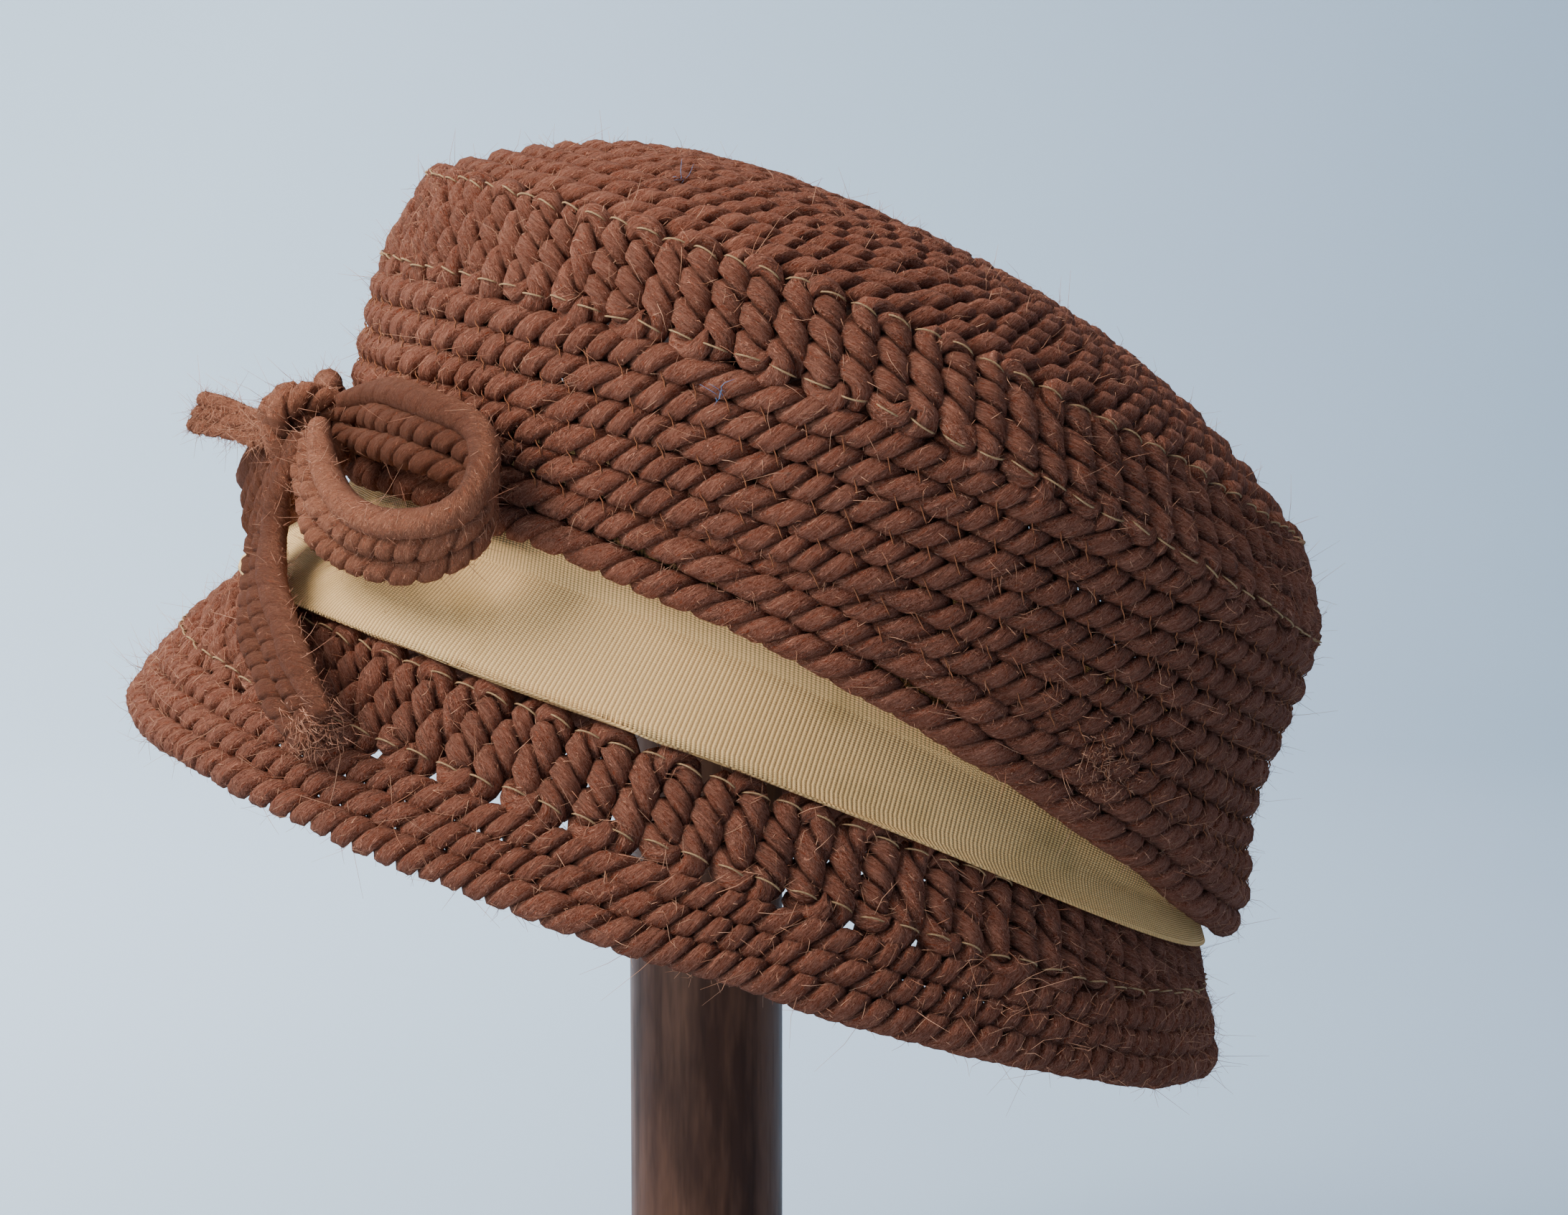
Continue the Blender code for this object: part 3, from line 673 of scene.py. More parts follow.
def row_threads(rng, angle, seams):
    """Short slanting stitches across the seams between the crown's rows."""
    bundle = Bundle()
    for up, fill in seams[:-1]:
        spots = np.arange(0, math.tau, 0.0705) + rng.uniform(0, 0.07)
        spots = spots + rng.uniform(-0.012, 0.012, len(spots))
        for spot in spots % math.tau:
            if np.interp(spot, angle, fill, period=math.tau) < 0.7:
                continue
            height = np.interp(spot, angle, up, period=math.tau)
            steps = np.array([-0.0015, -0.0007, 0.0, 0.0007, 0.0015]) * rng.uniform(0.8, 1.15)
            places = np.full(5, spot) - steps / 0.0975 * rng.uniform(0.5, 0.9)
            depth = np.array([0.0006, 0.0005, 0.001, 0.0005, 0.0006])
            path, _ = row_on(crown_wall, places, crown_level(places, height + steps), depth)
            lay_thread(bundle, rng, path, THREAD_RADIUS * 0.75, 5)
    return bundle


def ribbon_lines(angle):
    """The ribbon's section at each angle: its lower edge, over the brim's top, and up inside the crown. The
    ribs lean towards the front as they rise, so that they stand square to the edge."""
    away = np.stack([np.sin(angle), -np.cos(angle), np.zeros_like(angle)], axis=-1)
    lean = RIB_LEAN * np.sin(angle)
    at_low = angle + lean * 0.1
    at_top = angle - lean * 0.03
    at_edge = angle - lean * 0.55
    top = brim_wall(np.ones_like(angle), at_top)
    edge = crown_wall(np.zeros_like(angle), at_edge)
    drop = RIBBON_TUCK * round_values(1.3, 0.6, 2.5, at_low)
    low = at_height(brim_wall, at_low, brim_wall(np.ones_like(angle), at_low)[:, 2] - drop, 1.0, 0.0)
    tucked = np.maximum(edge[:, 2] - 0.0009, top[:, 2] + RIBBON_TUCK)
    upper = low[:, 2] + RIBBON_WIDTH * 0.97
    under_edge = edge - away * 0.0072
    under_edge[:, 2] = tucked
    lines = [low + away * 0.0014, top + away * 0.0016, under_edge]
    for share in (0.5, 1.0):
        height = tucked + (upper - tucked) * share
        inside = at_height(crown_wall, at_edge - lean * 0.45 * share, height, 3.9, 0.007)
        inside[:, 2] = height
        lines.append(inside)
    return np.stack(lines, axis=1)


def ribbon_band():
    """The grosgrain ribbon, with its cross ribs and its scalloped lower edge."""
    columns = RIBS * 3
    angle = all_round(columns)
    lines = np.moveaxis(ribbon_lines(angle), 1, 0)
    rib = np.array([0.0, 1.0, 1.0])[np.arange(columns) % 3]
    places = np.array([0.0, 0.12, 0.3, 0.65, 1.0, 1.35, 1.7, 1.9, 2.3, 4.0])
    outer = np.stack([through_rows(lines, np.full(1, place))[0] for place in places], axis=1)
    up = unit(np.gradient(outer, axis=1))
    along = directions(outer, closed=True)
    normal = unit(np.cross(along, up))
    wave = 0.0009 * np.sin(angle * 9 + 0.6) * np.clip(np.cos(angle - 0.5), 0, 1)
    outer = outer + normal * (wave[:, None] * np.sin(math.pi * np.clip(places / 2, 0, 1)))[..., None]
    face = outer + normal * (RIB_HEIGHT * (rib[:, None, None] - 0.5))
    face[:, 0] -= up[:, 0] * (0.00045 * np.abs(np.sin(math.pi * np.arange(columns) / 6)))[:, None]
    back = (outer - normal * RIBBON_THICKNESS)[:, ::-3]
    loop = np.concatenate([face, back], axis=1)
    sides = loop.shape[1]
    run = run_along(outer) * 1000
    strands = np.zeros(loop.shape)
    strands[..., 0] = (np.arange(columns) / 3)[:, None]
    strands[..., 1] = np.concatenate([run, run[:, ::-3]], axis=1)
    # Painted shade in the valleys between the ribs.
    groove_shades = np.repeat(1 - rib[:, None], sides, axis=1)
    bundle = Bundle()
    faces = [block[:, ::-1] for block in tube_faces(columns, sides, True)]
    bundle.add(loop, faces, loop * 0, strands, groove_shades)
    return bundle


def bow_frame():
    """The knot's middle and the ways along the crown, out of it and up it."""
    angle = np.array([BOW_ANGLE])
    surface = at_height(crown_wall, angle, np.array([BOW_HEIGHT]), 3.9, 0.0)[0]
    front, back, side_reach = through_rows(CROWN_RINGS, np.array([1.0]))[0, :3]
    side = unit(np.array([side_reach * math.cos(BOW_ANGLE), (front + back) / 2 * math.sin(BOW_ANGLE), 0.0]))
    up = np.array([0.0, 0.0, 1.0])
    out = np.cross(side, up)
    return surface + out * BOW_STAND_OFF, side, out, up


def strap_line(table, reach, mirror=1.0, sag=0.0):
    """The middle line of a strap of the bow, and the rows of its table drawn out smooth."""
    centre, side, out, up = bow_frame()
    rows = through_rows(np.array(table), np.linspace(0, len(table) - 1, len(table) * 10))
    level = rows[:, 0] * math.cos(sag) + rows[:, 2] * math.sin(sag)
    height = rows[:, 2] * math.cos(sag) - rows[:, 0] * math.sin(sag)
    path = centre + (side * mirror * level[:, None] + out * rows[:, 1:2] + up * height[:, None]) * reach
    return path, rows


def strap_cords(rng, table, reach, mirror=1.0, sag=0.0, lies=False):
    """Three felted cords along a strap of the bow: a smooth thick one at its edge and two lumpy ones."""
    side, out, up = bow_frame()[1:]
    toward = unit(side * mirror * 4 + out * 3)
    path, rows = strap_line(table, reach, mirror, sag)
    along = directions(path)
    lean = np.radians(rows[:, 3])[:, None]
    across = up * np.cos(lean) + toward * np.sin(lean)
    if lies:
        across = np.cross(out, along)
    across = unit(across - along * (across * along).sum(axis=1, keepdims=True))
    face = np.cross(across, along)
    width = rows[:, 4]
    bundle = Bundle()
    for cord in (-1, 0, 1):
        smooth = cord == 1
        offset = cord * STRAP_WIDTH / 3 * 0.92 * np.minimum(width, 1.0)
        line = path + across * offset[:, None] + face * (0.0 if smooth else 0.0004)
        radius = BOW_CORD_RADIUS * np.clip(width * 1.08, 0.6, 1.08)
        felt, turn = (0.93, TWIST) if smooth else (0.54, TWIST * 0.8)
        lay_cord(bundle, rng, line, face, radius, felt=felt, twist=turn, wander=0.0003)
    return bundle


def knot_cords(rng):
    """Turns of felted cord wound round the middle of the bow, and the core that they hide."""
    centre, side, out, up = bow_frame()
    centre = centre - out * 0.0022 - up * 0.0022
    angle = all_round(60)[:, None]
    bundle = Bundle()
    for place, swell in ((-0.0058, 0.85), (-0.0006, 0.96), (0.0046, 1.04)):
        spoke = out * np.cos(angle) * 0.0068 * swell + up * np.sin(angle) * 0.006 * swell
        path = centre + side * place + spoke
        lay_cord(bundle, rng, path, unit(spoke), 0.0032, closed=True, felt=0.42, twist=TWIST * 0.78)
    core = centre + side * np.linspace(-0.0065, 0.0055, 12)[:, None]
    lay_cord(bundle, rng, core, np.broadcast_to(out, core.shape), 0.0044, felt=0.5)
    return bundle


def fibres(bundle, rng, roots, heads, lengths, radius, bends=1):
    """Thin curling hairs that start at their roots, or straight ones with no bends."""
    curls = unit(rng.normal(size=heads.shape)) * rng.uniform(0.4, 1.6, (len(heads), 1))
    steps = np.linspace(0.0, 1.0, bends + 2)
    line = heads[:, None] * steps[:, None] + curls[:, None] * steps[:, None] ** 2 * min(bends, 1)
    line = roots[:, None] + line * lengths[:, None, None]
    side = unit(np.cross(heads, curls))
    third = unit(np.cross(side, heads))
    angle = all_round(3)
    ways = side[:, None] * np.cos(angle)[:, None] + third[:, None] * np.sin(angle)[:, None]
    taper = radius * (1.0 - 0.65 * steps**2)
    points = line[:, :, None] + ways[:, None] * taper[:, None, None]
    count = len(roots)
    each = len(steps) * 3
    shifts = (np.arange(count) * each)[:, None, None]
    faces = [(block + shifts).reshape(-1, block.shape[1]) for block in tube_faces(len(steps), 3, False)]
    strands = np.zeros((count, each, 3))
    strands[..., 2] = rng.uniform(0, 500, (count, 1))
    bundle.add(points, faces, strands * 0, strands, np.zeros(count * each))


def fuzz(bundle, rng, source, count, long_share=0.1, reach=0.0022):
    """Loose fibres on the cords of a bundle: curling ones that stand off it, and twice as many short straight
    ones that lie close."""
    points = np.concatenate(source.points)
    ways = np.concatenate(source.ways)
    groove_shades = np.concatenate(source.groove_shades)
    open_points = np.flatnonzero(groove_shades < 0.5)
    for share, lift, length, bends in ((1, 0.75, reach, 1), (2, 0.3, 0.0015, 0)):
        chosen = rng.choice(open_points, count * share)
        roots = points[chosen] + ways[chosen] * (-0.0001 if bends else 0.00005)
        lie = unit(rng.normal(size=roots.shape))
        heads = unit(ways[chosen] * rng.uniform(0.1, lift, (len(chosen), 1)) + lie * 0.8)
        lengths = rng.gamma(3.0, length / 3.0, len(chosen))
        lengths[rng.random(len(chosen)) < long_share * bends] *= 2.0
        lengths = np.clip(lengths, SHORTEST_FIBRE, LONGEST_FIBRE)
        fibres(bundle, rng, roots, heads, lengths, FIBRE_RADIUS, bends)


def tuft(bundle, rng, table, reach, count):
    """The frayed end of a tail: fibres that spread from its last few millimetres."""
    path, _ = strap_line(table, reach)
    tip, way = path[-1], unit(path[-1] - path[-6])
    roots = tip + rng.normal(size=(count, 3)) * 0.0026 - way * rng.uniform(0.0, 0.003, (count, 1))
    heads = unit(way + rng.normal(size=(count, 3)) * 0.38)
    fibres(bundle, rng, roots, heads, rng.uniform(0.0012, 0.003, count), FIBRE_RADIUS)


def clinging(bundle, rng, wall, place, spread, count, longest):
    """Fibres that cling to one spot of a wall, given as (level, angle in degrees), lying nearly flat."""
    level = np.array([place[0]])
    angle = np.array([math.radians(place[1])])
    way = outward(wall, level, angle, 0.02)
    lie = rng.normal(size=(count, 3))
    lie -= way * (lie * way).sum(axis=1, keepdims=True)
    roots = wall(level, angle) + lie * spread + way * rng.uniform(-0.0002, 0.0004, (count, 1))
    heads = unit(unit(rng.normal(size=(count, 3))) + way * 0.25)
    fibres(bundle, rng, roots, heads, rng.uniform(0.4, 1.0, count) * longest, FIBRE_RADIUS * 1.1)


def turned_points(outline, sides):
    """Rings of points about the stand's axis, from an outline as (radius, height)."""
    angle = all_round(sides)
    outline = np.array(outline)
    points = np.zeros((len(outline), sides, 3))
    points[..., :2] = outline[:, 0, None, None] * np.stack([np.cos(angle), np.sin(angle)], axis=-1)
    points[..., 2] = outline[:, 1, None]
    return points


def turned(radius, outline, sides=72):
    """A bundle turned on a lathe, from its outline as (inset from its radius, height)."""
    points = turned_points([(radius - inset, height) for inset, height in outline], sides)
    bundle = Bundle()
    bundle.add(points, tube_faces(len(outline), sides, False), points * 0, points * 1000, points[..., 0] * 0)
    return bundle


def fill_sockets(node, values):
    """Sets a node's inputs to numbers and colours, or links them to the outputs of other nodes."""
    for label, value in values.items():
        if isinstance(value, (int, float)):
            node.inputs[label].default_value = value
        elif isinstance(value, tuple):
            node.inputs[label].default_value = (*value, 1.0)
        else:
            node.id_data.links.new(value, node.inputs[label])


def node_beside(socket, kind):
    """A new node in the tree that a socket belongs to."""
    return socket.id_data.nodes.new(kind)


def new_group(name, inputs, outputs):
    """A shader node group, from the usual values of its inputs and the kinds of its outputs."""
    tree = bpy.data.node_groups.new(name, "ShaderNodeTree")
    for label, value in inputs.items():
        colour = isinstance(value, tuple)
        kind = "NodeSocketColor" if colour else "NodeSocketFloat"
        socket = tree.interface.new_socket(label, in_out="INPUT", socket_type=kind)
        socket.default_value = (*value, 1.0) if colour else value
    for label, kind in outputs.items():
        tree.interface.new_socket(label, in_out="OUTPUT", socket_type=kind)
    return tree, tree.nodes.new("NodeGroupInput").outputs, tree.nodes.new("NodeGroupOutput")


def use_group(tree, group, values):
    node = tree.nodes.new("ShaderNodeGroup")
    node.node_tree = group
    fill_sockets(node, values)
    return node.outputs


def noise(vector, scale, detail=3.0, roughness=0.55, distortion=0.0):
    node = node_beside(vector, "ShaderNodeTexNoise")
    fill_sockets(node, {"Vector": vector, "Scale": scale, "Detail": detail})
    fill_sockets(node, {"Roughness": roughness, "Distortion": distortion})
    return node.outputs["Fac"]


def stretch(value, low, high, out_low=0.0, out_high=1.0):
    node = node_beside(value, "ShaderNodeMapRange")
    fill_sockets(node, {"Value": value, "From Min": low, "From Max": high})
    fill_sockets(node, {"To Min": out_low, "To Max": out_high})
    return node.outputs["Result"]


def maths(operation, first, second):
    node = node_beside(first, "ShaderNodeMath")
    node.operation = operation
    fill_sockets(node, {0: first, 1: second})
    return node.outputs["Value"]


def blend_colours(share, first, second):
    node = node_beside(share, "ShaderNodeMix")
    node.data_type = "RGBA"
    fill_sockets(node, {"Factor": share, MIX_FIRST: first, MIX_SECOND: second})
    return node.outputs[MIX_RESULT]


def attribute(tree, name, output):
    node = tree.nodes.new("ShaderNodeAttribute")
    node.attribute_name = name
    return node.outputs[output]


def place_on_object(tree):
    return tree.nodes.new("ShaderNodeTexCoord").outputs["Object"]


def taken_apart(vector):
    node = node_beside(vector, "ShaderNodeSeparateXYZ")
    fill_sockets(node, {0: vector})
    return node.outputs


def scaled(vector, across_x, across_y, along):
    """A vector multiplied by three scales, each a number or a socket."""
    scales = node_beside(vector, "ShaderNodeCombineXYZ")
    fill_sockets(scales, {0: across_x, 1: across_y, 2: along})
    node = node_beside(vector, "ShaderNodeVectorMath")
    node.operation = "MULTIPLY"
    fill_sockets(node, {0: vector, 1: scales.outputs[0]})
    return node.outputs["Vector"]


def hair_lines(strand, across, along, thickness, twisting):
    """Thin wandering lines, one where a noise crosses its middle value."""
    field = noise(scaled(strand, across, across, along), 1.0, 1.0, 0.5, twisting)
    return stretch(maths("ABSOLUTE", maths("SUBTRACT", field, 0.5), 0.0), thickness, 0.0)


def spun_fibres_group():
    """A mat of curling hairs over fibres that run along a strand, with slow streaks."""
    kinds = {"Height": "NodeSocketFloat", "Streak": "NodeSocketFloat", "Hair": "NodeSocketFloat"}
    tree, given, result = new_group("spun fibres", {"Across": 1.0, "Along": 0.22, "Lumps": 0.35}, kinds)
    strand = attribute(tree, "strand", "Vector")
    lengthwise = scaled(strand, given["Across"], given["Across"], given["Along"])
    coarse = noise(lengthwise, 1.0, 4.0, 0.65, 0.8)
    mat = hair_lines(strand, 1.3, 0.7, 0.06, 1.8)
    for across, along, thickness, twisting in ((1.9, 1.1, 0.06, 2.4), (0.8, 1.7, 0.042, 1.5)):
        mat = maths("MAXIMUM", mat, hair_lines(strand, across, along, thickness, twisting))
    lumps = maths("MULTIPLY", noise(strand, 0.55, 2.0, 0.5), given["Lumps"])
    height = maths("ADD", maths("MULTIPLY", coarse, 0.6), maths("MULTIPLY", mat, 0.42))
    streak = stretch(coarse, 0.34, 0.66)
    fill_sockets(result, {"Height": maths("ADD", height, lumps), "Streak": streak, "Hair": mat})
    return tree


def dyed_wool_group():
    """The colour of dyed wool: slow patches over the hat, streaks along each ply, painted shade in grooves.
    """
    inputs = {"Pale": (0.5, 0.3, 0.2), "Mid": (0.3, 0.1, 0.05), "Deep": (0.1, 0.03, 0.02)}
    inputs.update({"Patches": 22.0, "Streak": 0.5, "Hair": 0.0})
    tree, given, result = new_group("dyed wool", inputs, {"Colour": "NodeSocketColor"})
    patches = maths("MULTIPLY", noise(place_on_object(tree), given["Patches"], 3.0, 0.6), 0.55)
    streaked = maths("ADD", patches, maths("MULTIPLY", given["Streak"], 0.45))
    light = blend_colours(stretch(streaked, 0.52, 1.1), given["Mid"], given["Pale"])
    shaded = blend_colours(stretch(streaked, 0.48, 0.2), light, given["Deep"])
    # Hair lines are real fibres, painted pale as their highlight.
    hairs_with_highlight = blend_colours(maths("MULTIPLY", given["Hair"], 0.7), shaded, given["Pale"])
    # Painted shade: grooves and hollows blend towards the Deep colour.
    groove_shade = maths("MULTIPLY", attribute(tree, "groove_shade", "Fac"), 0.85)
    tree.links.new(blend_colours(groove_shade, hairs_with_highlight, given["Deep"]), result.inputs["Colour"])
    return tree


def new_material(name, specular):
    material = bpy.data.materials.new(name)
    material.use_nodes = True
    tree = material.node_tree
    shader = tree.nodes["Principled BSDF"]
    shader.inputs["Specular IOR Level"].default_value = specular
    return material, tree, shader


def bump(height, strength, distance):
    node = node_beside(height, "ShaderNodeBump")
    fill_sockets(node, {"Strength": strength, "Distance": distance, "Height": height})
    return node.outputs["Normal"]


def wool(name, groups, dye):
    """Spun wool in one dye."""
    material, tree, shader = new_material(name, 0.08)
    spun = use_group(tree, groups["spun"], {"Across": dye.across, "Along": dye.along})
    inputs = {"Pale": dye.pale, "Mid": dye.mid, "Deep": dye.deep}
    inputs.update({"Streak": spun["Streak"], "Hair": spun["Hair"]})
    colour = use_group(tree, groups["dyed"], inputs)["Colour"]
    roughness = stretch(spun["Streak"], 0.0, 1.0, 0.96, 0.8)
    normal = bump(spun["Height"], 1.0, dye.depth)
    fill_sockets(shader, {"Base Color": colour, "Roughness": roughness, "Normal": normal})
    fill_sockets(shader, {"Sheen Weight": 0.07, "Sheen Roughness": 0.45, "Sheen Tint": (1.0, 0.72, 0.55)})
    return material


def grosgrain():
    """Cream ribbon that turns gold towards the back, with stains, specks, fine cross threads and painted
    shade.
    """
    material, tree, shader = new_material("grosgrain", 0.2)
    place = place_on_object(tree)
    clouds = maths("MULTIPLY", noise(place, 30.0), 0.1)
    gold = stretch(maths("ADD", taken_apart(place)["Y"], clouds), -0.06, 0.13)
    weave = attribute(tree, "strand", "Vector")
    thread = noise(scaled(weave, 1.1, 3.2, 1.0), 1.0, 2.0)
    beads = maths("SINE", maths("MULTIPLY", taken_apart(weave)["Y"], 15.0), 0.0)
    colour = blend_colours(gold, (1.0, 0.68, 0.31), (1.0, 0.56, 0.2))
    for share, tint in (
        (stretch(noise(place, 55.0, 2.0), 0.58, 0.72, 0.0, 0.55), (0.58, 0.36, 0.12)),
        (stretch(thread, 0.4, 0.75, 0.0, 0.25), (0.52, 0.32, 0.13)),
        # Darker between the beads: the weave's own pattern, with painted shade in its valleys.
        (stretch(beads, 0.0, -1.0, 0.0, 0.22), (0.62, 0.32, 0.12)),
        # Painted shade: darker in the valleys between the ribs.
        (maths("MULTIPLY", attribute(tree, "groove_shade", "Fac"), 0.78), (0.26, 0.12, 0.04)),
        (stretch(noise(place, 700.0, 1.0), 0.79, 0.83, 0.0, 0.6), (0.16, 0.07, 0.03)),
    ):
        colour = blend_colours(share, colour, tint)
    roughness = stretch(thread, 0.2, 0.8, 0.5, 0.75)
    fill_sockets(shader, {"Sheen Weight": 0.03, "Base Color": colour, "Roughness": roughness})
    fill_sockets(shader, {"Normal": bump(maths("ADD", thread, beads), 0.6, 0.0001)})
    return material


def dark_wood():
    """Dark stained wood with a grain that runs up the post and a thin worn polish."""
    material, tree, shader = new_material("dark wood", 0.15)
    place = place_on_object(tree)
    grain = noise(scaled(place, 1.0, 1.0, 0.07), 260.0, 5.0, 0.65)
    rings = noise(scaled(place, 1.0, 1.0, 0.16), 95.0, 4.0, 0.6)
    ring_share = stretch(rings, 0.36, 0.64)
    colour = blend_colours(ring_share, (0.05, 0.019, 0.01), (0.175, 0.075, 0.04))
    colour = blend_colours(stretch(grain, 0.5, 0.72, 0.0, 0.6), colour, (0.022, 0.009, 0.005))
    roughness = stretch(grain, 0.3, 0.7, 0.42, 0.62)
    polish = stretch(rings, 0.3, 0.7, 0.04, 0.14)
    fill_sockets(shader, {"Base Color": colour, "Roughness": roughness})
    fill_sockets(shader, {"Coat Weight": polish, "Coat Roughness": 0.25})
    fill_sockets(shader, {"Normal": bump(grain, 0.35, 0.0003)})
    return material


def studio_sweep():
    """A pale floor that curves up into a wall all round, with painted shade to the right and towards the
    camera.
    """
    outline = [(FLOOR_MIDDLE, 0.0), (FLOOR_REACH, 0.0)]
    for turn in np.linspace(0, math.pi / 2, 13)[1:]:
        outline.append((FLOOR_REACH + WALL_CURVE * math.sin(turn), WALL_CURVE * (1 - math.cos(turn))))
    outline.append((FLOOR_REACH + WALL_CURVE, WALL_TOP))
    points = turned_points(outline, 96)
    wall_and_floor = tube_faces(len(outline), 96, False)[:2]
    bundle = Bundle()
    faces = [block[:, ::-1] for block in wall_and_floor]
    bundle.add(points, faces, points * 0, points * 0, points[..., 0] * 0)
    mesh = bundle.mesh("studio_sweep")
    material, tree, shader = new_material("pale paper", 0.1)
    place = place_on_object(tree)
    apart = taken_apart(place)
    clouds = maths("MULTIPLY", noise(place, 3.0, 2.0), 0.1)
    # Painted shade: the paper darkens towards +Y, the right of the view, and towards the camera.
    across = maths("ADD", apart["Y"], maths("MULTIPLY", apart["X"], 0.3))
    shade = stretch(maths("ADD", across, clouds), -0.8, 0.66)
    paper = blend_colours(shade, (0.7, 0.84, 0.96), (0.27, 0.37, 0.5))
    fill_sockets(shader, {"Base Color": paper, "Roughness": 0.9})
    mesh.materials.append(material)
    sweep = link_object("studio_sweep", mesh)


def view_directions():
    """The ways toward the camera, to its right and up."""
    right = Vector((math.cos(VIEW_AZIMUTH), math.sin(VIEW_AZIMUTH), 0.0))
    toward = Vector((right.y, -right.x, 0.0)) * math.cos(VIEW_ELEVATION)
    toward.z = math.sin(VIEW_ELEVATION)
    return toward, right, toward.cross(right)


def set_camera():
    toward, right, up = view_directions()
    data = bpy.data.cameras.new("camera")
    data.lens = LENS
    data.sensor_width = 36.0
    data.sensor_fit = "HORIZONTAL"
    data.clip_start = 0.01
    camera = link_object("camera", data)
    place = VIEW_CENTRE + toward * VIEW_DISTANCE + right * VIEW_SHIFT_RIGHT + up * VIEW_SHIFT_UP
    turn = Matrix((right, up, toward)).transposed().to_4x4()
    camera.matrix_world = Matrix.Translation(place) @ turn
    bpy.context.scene.camera = camera


def add_light(name, offset, aim, size, power, colour):
    """A square soft light at an offset from the hat, aimed at another: (right, up, toward the camera)."""
    toward, right, up = view_directions()
    data = bpy.data.lights.new(name, "AREA")
    data.shape = "SQUARE"
    data.size = size
    data.energy = power
    data.color = colour
    light = link_object(name, data)
    axes = Matrix((right, up, toward)).transposed()
    light.location = VIEW_CENTRE + axes @ Vector(offset)
    back = axes @ (Vector(offset) - Vector(aim))
    light.rotation_euler = back.to_track_quat("Z", "Y").to_euler()


def set_lights():
    hat = (0.0, 0.0, 0.0)
    add_light("window_left", (-0.64, 0.62, 0.34), hat, 0.5, 12.0, (1.0, 0.97, 0.93))
    add_light("window_low", (-0.62, -0.02, 0.72), hat, 0.4, 3.0, (1.0, 0.94, 0.85))
    add_light("fill_right", (0.9, 0.3, 0.8), hat, 0.9, 0.5, (0.92, 0.96, 1.0))
    add_light("top_soft", (-0.2, 1.1, -0.3), hat, 0.9, 4.0, (1.0, 1.0, 1.0))
    add_light("wall_wash", (-0.5, 0.9, -0.45), (-0.25, 0.1, -1.5), 0.6, 15.0, (0.97, 0.99, 1.0))
    world = bpy.data.worlds.new("pale sky")
    world.use_nodes = True
    background = world.node_tree.nodes["Background"]
    fill_sockets(background, {"Color": (0.86, 0.85, 0.84), "Strength": 1.1})
    bpy.context.scene.world = world


def build_hat(materials):
    rng = np.random.default_rng(20)
    coil = crown_coil(rng)
    rows, (angle, seams) = crown_rows(rng)
    low_rows = brim_rows(rng)
    crown_ladder, crown_stitches = ladder(crown_wall, CROWN_LADDER_FOOT, CROWN_TOP, CROWN_LEGS, rng, 0.02)
    brim_ladder, brim_stitches = ladder(brim_wall, BRIM_LADDER_FOOT, BRIM_LADDER_TOP, BRIM_LEGS, rng, 0.01)
    for name, bundle, node in (
        ("crown_coil", coil, "crown_tip"),
        ("crown_rows", rows, "crown_side"),
        ("crown_ladder", crown_ladder, "crown_braid"),
        ("brim_ladder", brim_ladder, "brim_braid"),
        ("brim_rows", low_rows, "brim_edge"),
    ):
        set_out(name, bundle, materials["wool"], [node])

    stitches = Bundle()
    for path in crown_stitches + brim_stitches:
        lay_thread(stitches, rng, path, THREAD_RADIUS)
    set_out("ladder_threads", stitches, materials["tan thread"])
    set_out("row_threads", row_threads(rng, angle, seams), materials["copper thread"])

    crown_fuzz = Bundle()
    for source, count in ((coil, 1150), (crown_ladder, 1500), (rows, 3500)):
        fuzz(crown_fuzz, rng, source, count)
    clinging(crown_fuzz, rng, crown_wall, SPLICE_PATCH, 0.0042, 150, 0.002)
    set_out("crown_fuzz", crown_fuzz, materials["loose wool with painted highlight"])
    blue = Bundle()
    clinging(blue, rng, crown_wall, BLUE_ON_SIDE, 0.0006, 7, 0.003)
    clinging(blue, rng, crown_dome, BLUE_ON_TIP, 0.0006, 6, 0.0026)
    set_out("blue_fibres", blue, materials["blue fibre"])
    brim_fuzz = Bundle()
    fuzz(brim_fuzz, rng, brim_ladder, 1900)
    fuzz(brim_fuzz, rng, low_rows, 2200, 0.25, 0.003)
    set_out("brim_fuzz", brim_fuzz, materials["loose wool with painted highlight"])


def build_ribbon(materials):
    ribbon = set_out("ribbon_band", ribbon_band(), materials["grosgrain"], ["hat_band"])


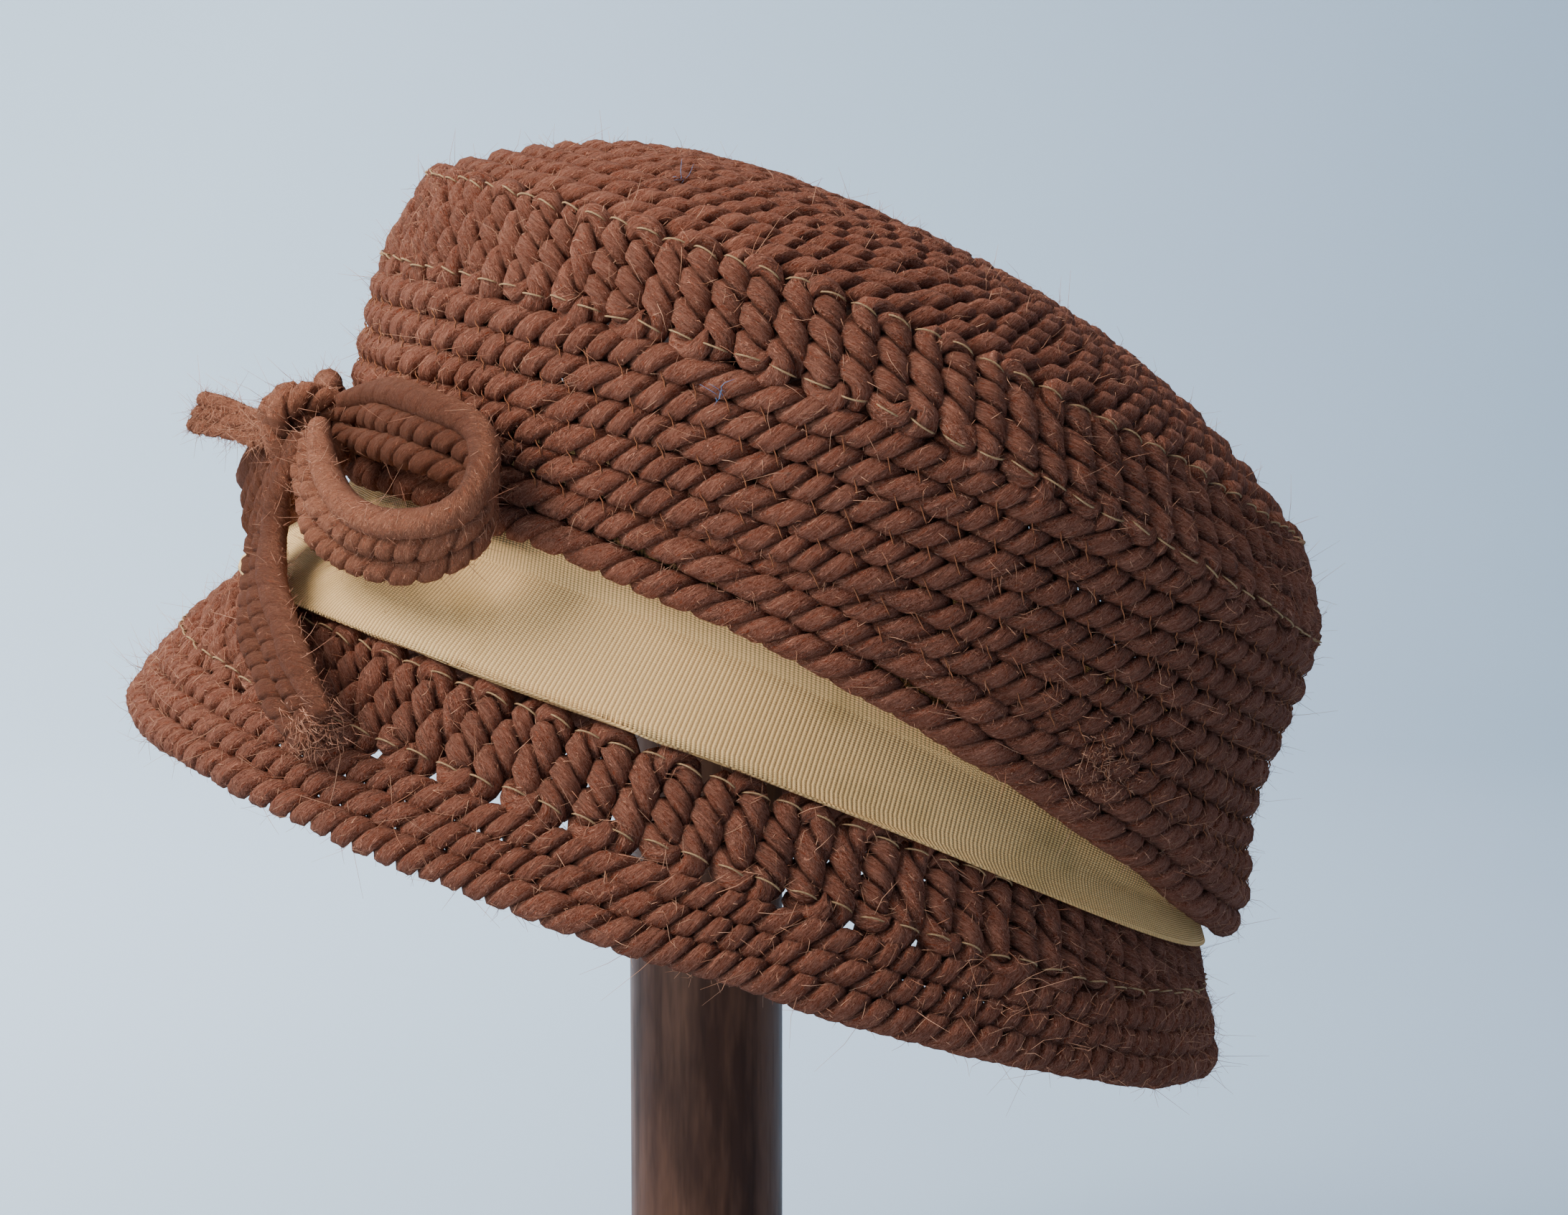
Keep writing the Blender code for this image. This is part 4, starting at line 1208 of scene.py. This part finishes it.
def build_bow(materials):
    rng = np.random.default_rng(31)
    straps = (
        ("near_loop_cords", strap_cords(rng, LOOP_TABLE, LOOP_REACH), "bow_loop_near"),
        ("far_loop_cords", strap_cords(rng, LOOP_TABLE, LOOP_REACH, -1.0, FAR_LOOP_SAG), "bow_loop_far"),
        ("front_tail_cords", strap_cords(rng, FRONT_TAIL_TABLE, TAIL_REACH, lies=True), "bow_tail_front"),
        ("side_tail_cords", strap_cords(rng, SIDE_TAIL_TABLE, TAIL_REACH), "bow_tail_side"),
        ("knot_cords", knot_cords(rng), "bow_knot"),
    )
    bow_fuzz = Bundle()
    for name, bundle, node in straps:
        set_out(name, bundle, materials["felted wool"], [node])
        fuzz(bow_fuzz, rng, bundle, 460, 0.15, 0.002)
    tuft(bow_fuzz, rng, FRONT_TAIL_TABLE, TAIL_REACH, 330)
    set_out("bow_fuzz", bow_fuzz, materials["loose felt with painted highlight"])


def build_stand(materials):
    low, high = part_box("stand_post")
    middle = (low.z + high.z) / 2
    outline = [(0.0006, low.z), (0, low.z + 0.0006), (0, low.z + 0.02), (0, middle)]
    outline += [(0, high.z - 0.02), (0, high.z - 0.0006), (0.0006, high.z)]
    post = turned(high.x, outline)
    low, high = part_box("stand_foot")
    outline = [(0.002, 0), (0.0006, 0.0006), (0, 0.002), (0, high.z - 0.005), (0.001, high.z - 0.0024)]
    outline += [(0.0034, high.z - 0.0007), (0.008, high.z), (high.x - 0.0175, high.z)]
    foot = turned(high.x, outline)
    set_out("turned_post", post, materials["wood"], ["stand_post"], on_hat=False)
    set_out("turned_foot", foot, materials["wood"], ["stand_foot"], on_hat=False)
    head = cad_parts["stand_head"]
    head.data.materials.clear()
    head.data.materials.append(materials["wood"])


def make_materials():
    groups = {"spun": spun_fibres_group(), "dyed": dyed_wool_group()}
    materials = {name: wool(name, groups, dye) for name, dye in WOOLS.items()}
    materials["grosgrain"] = grosgrain()
    materials["wood"] = dark_wood()
    return materials


materials = make_materials()
set_camera()
studio_sweep()
set_lights()
build_hat(materials)
build_ribbon(materials)
build_bow(materials)
build_stand(materials)
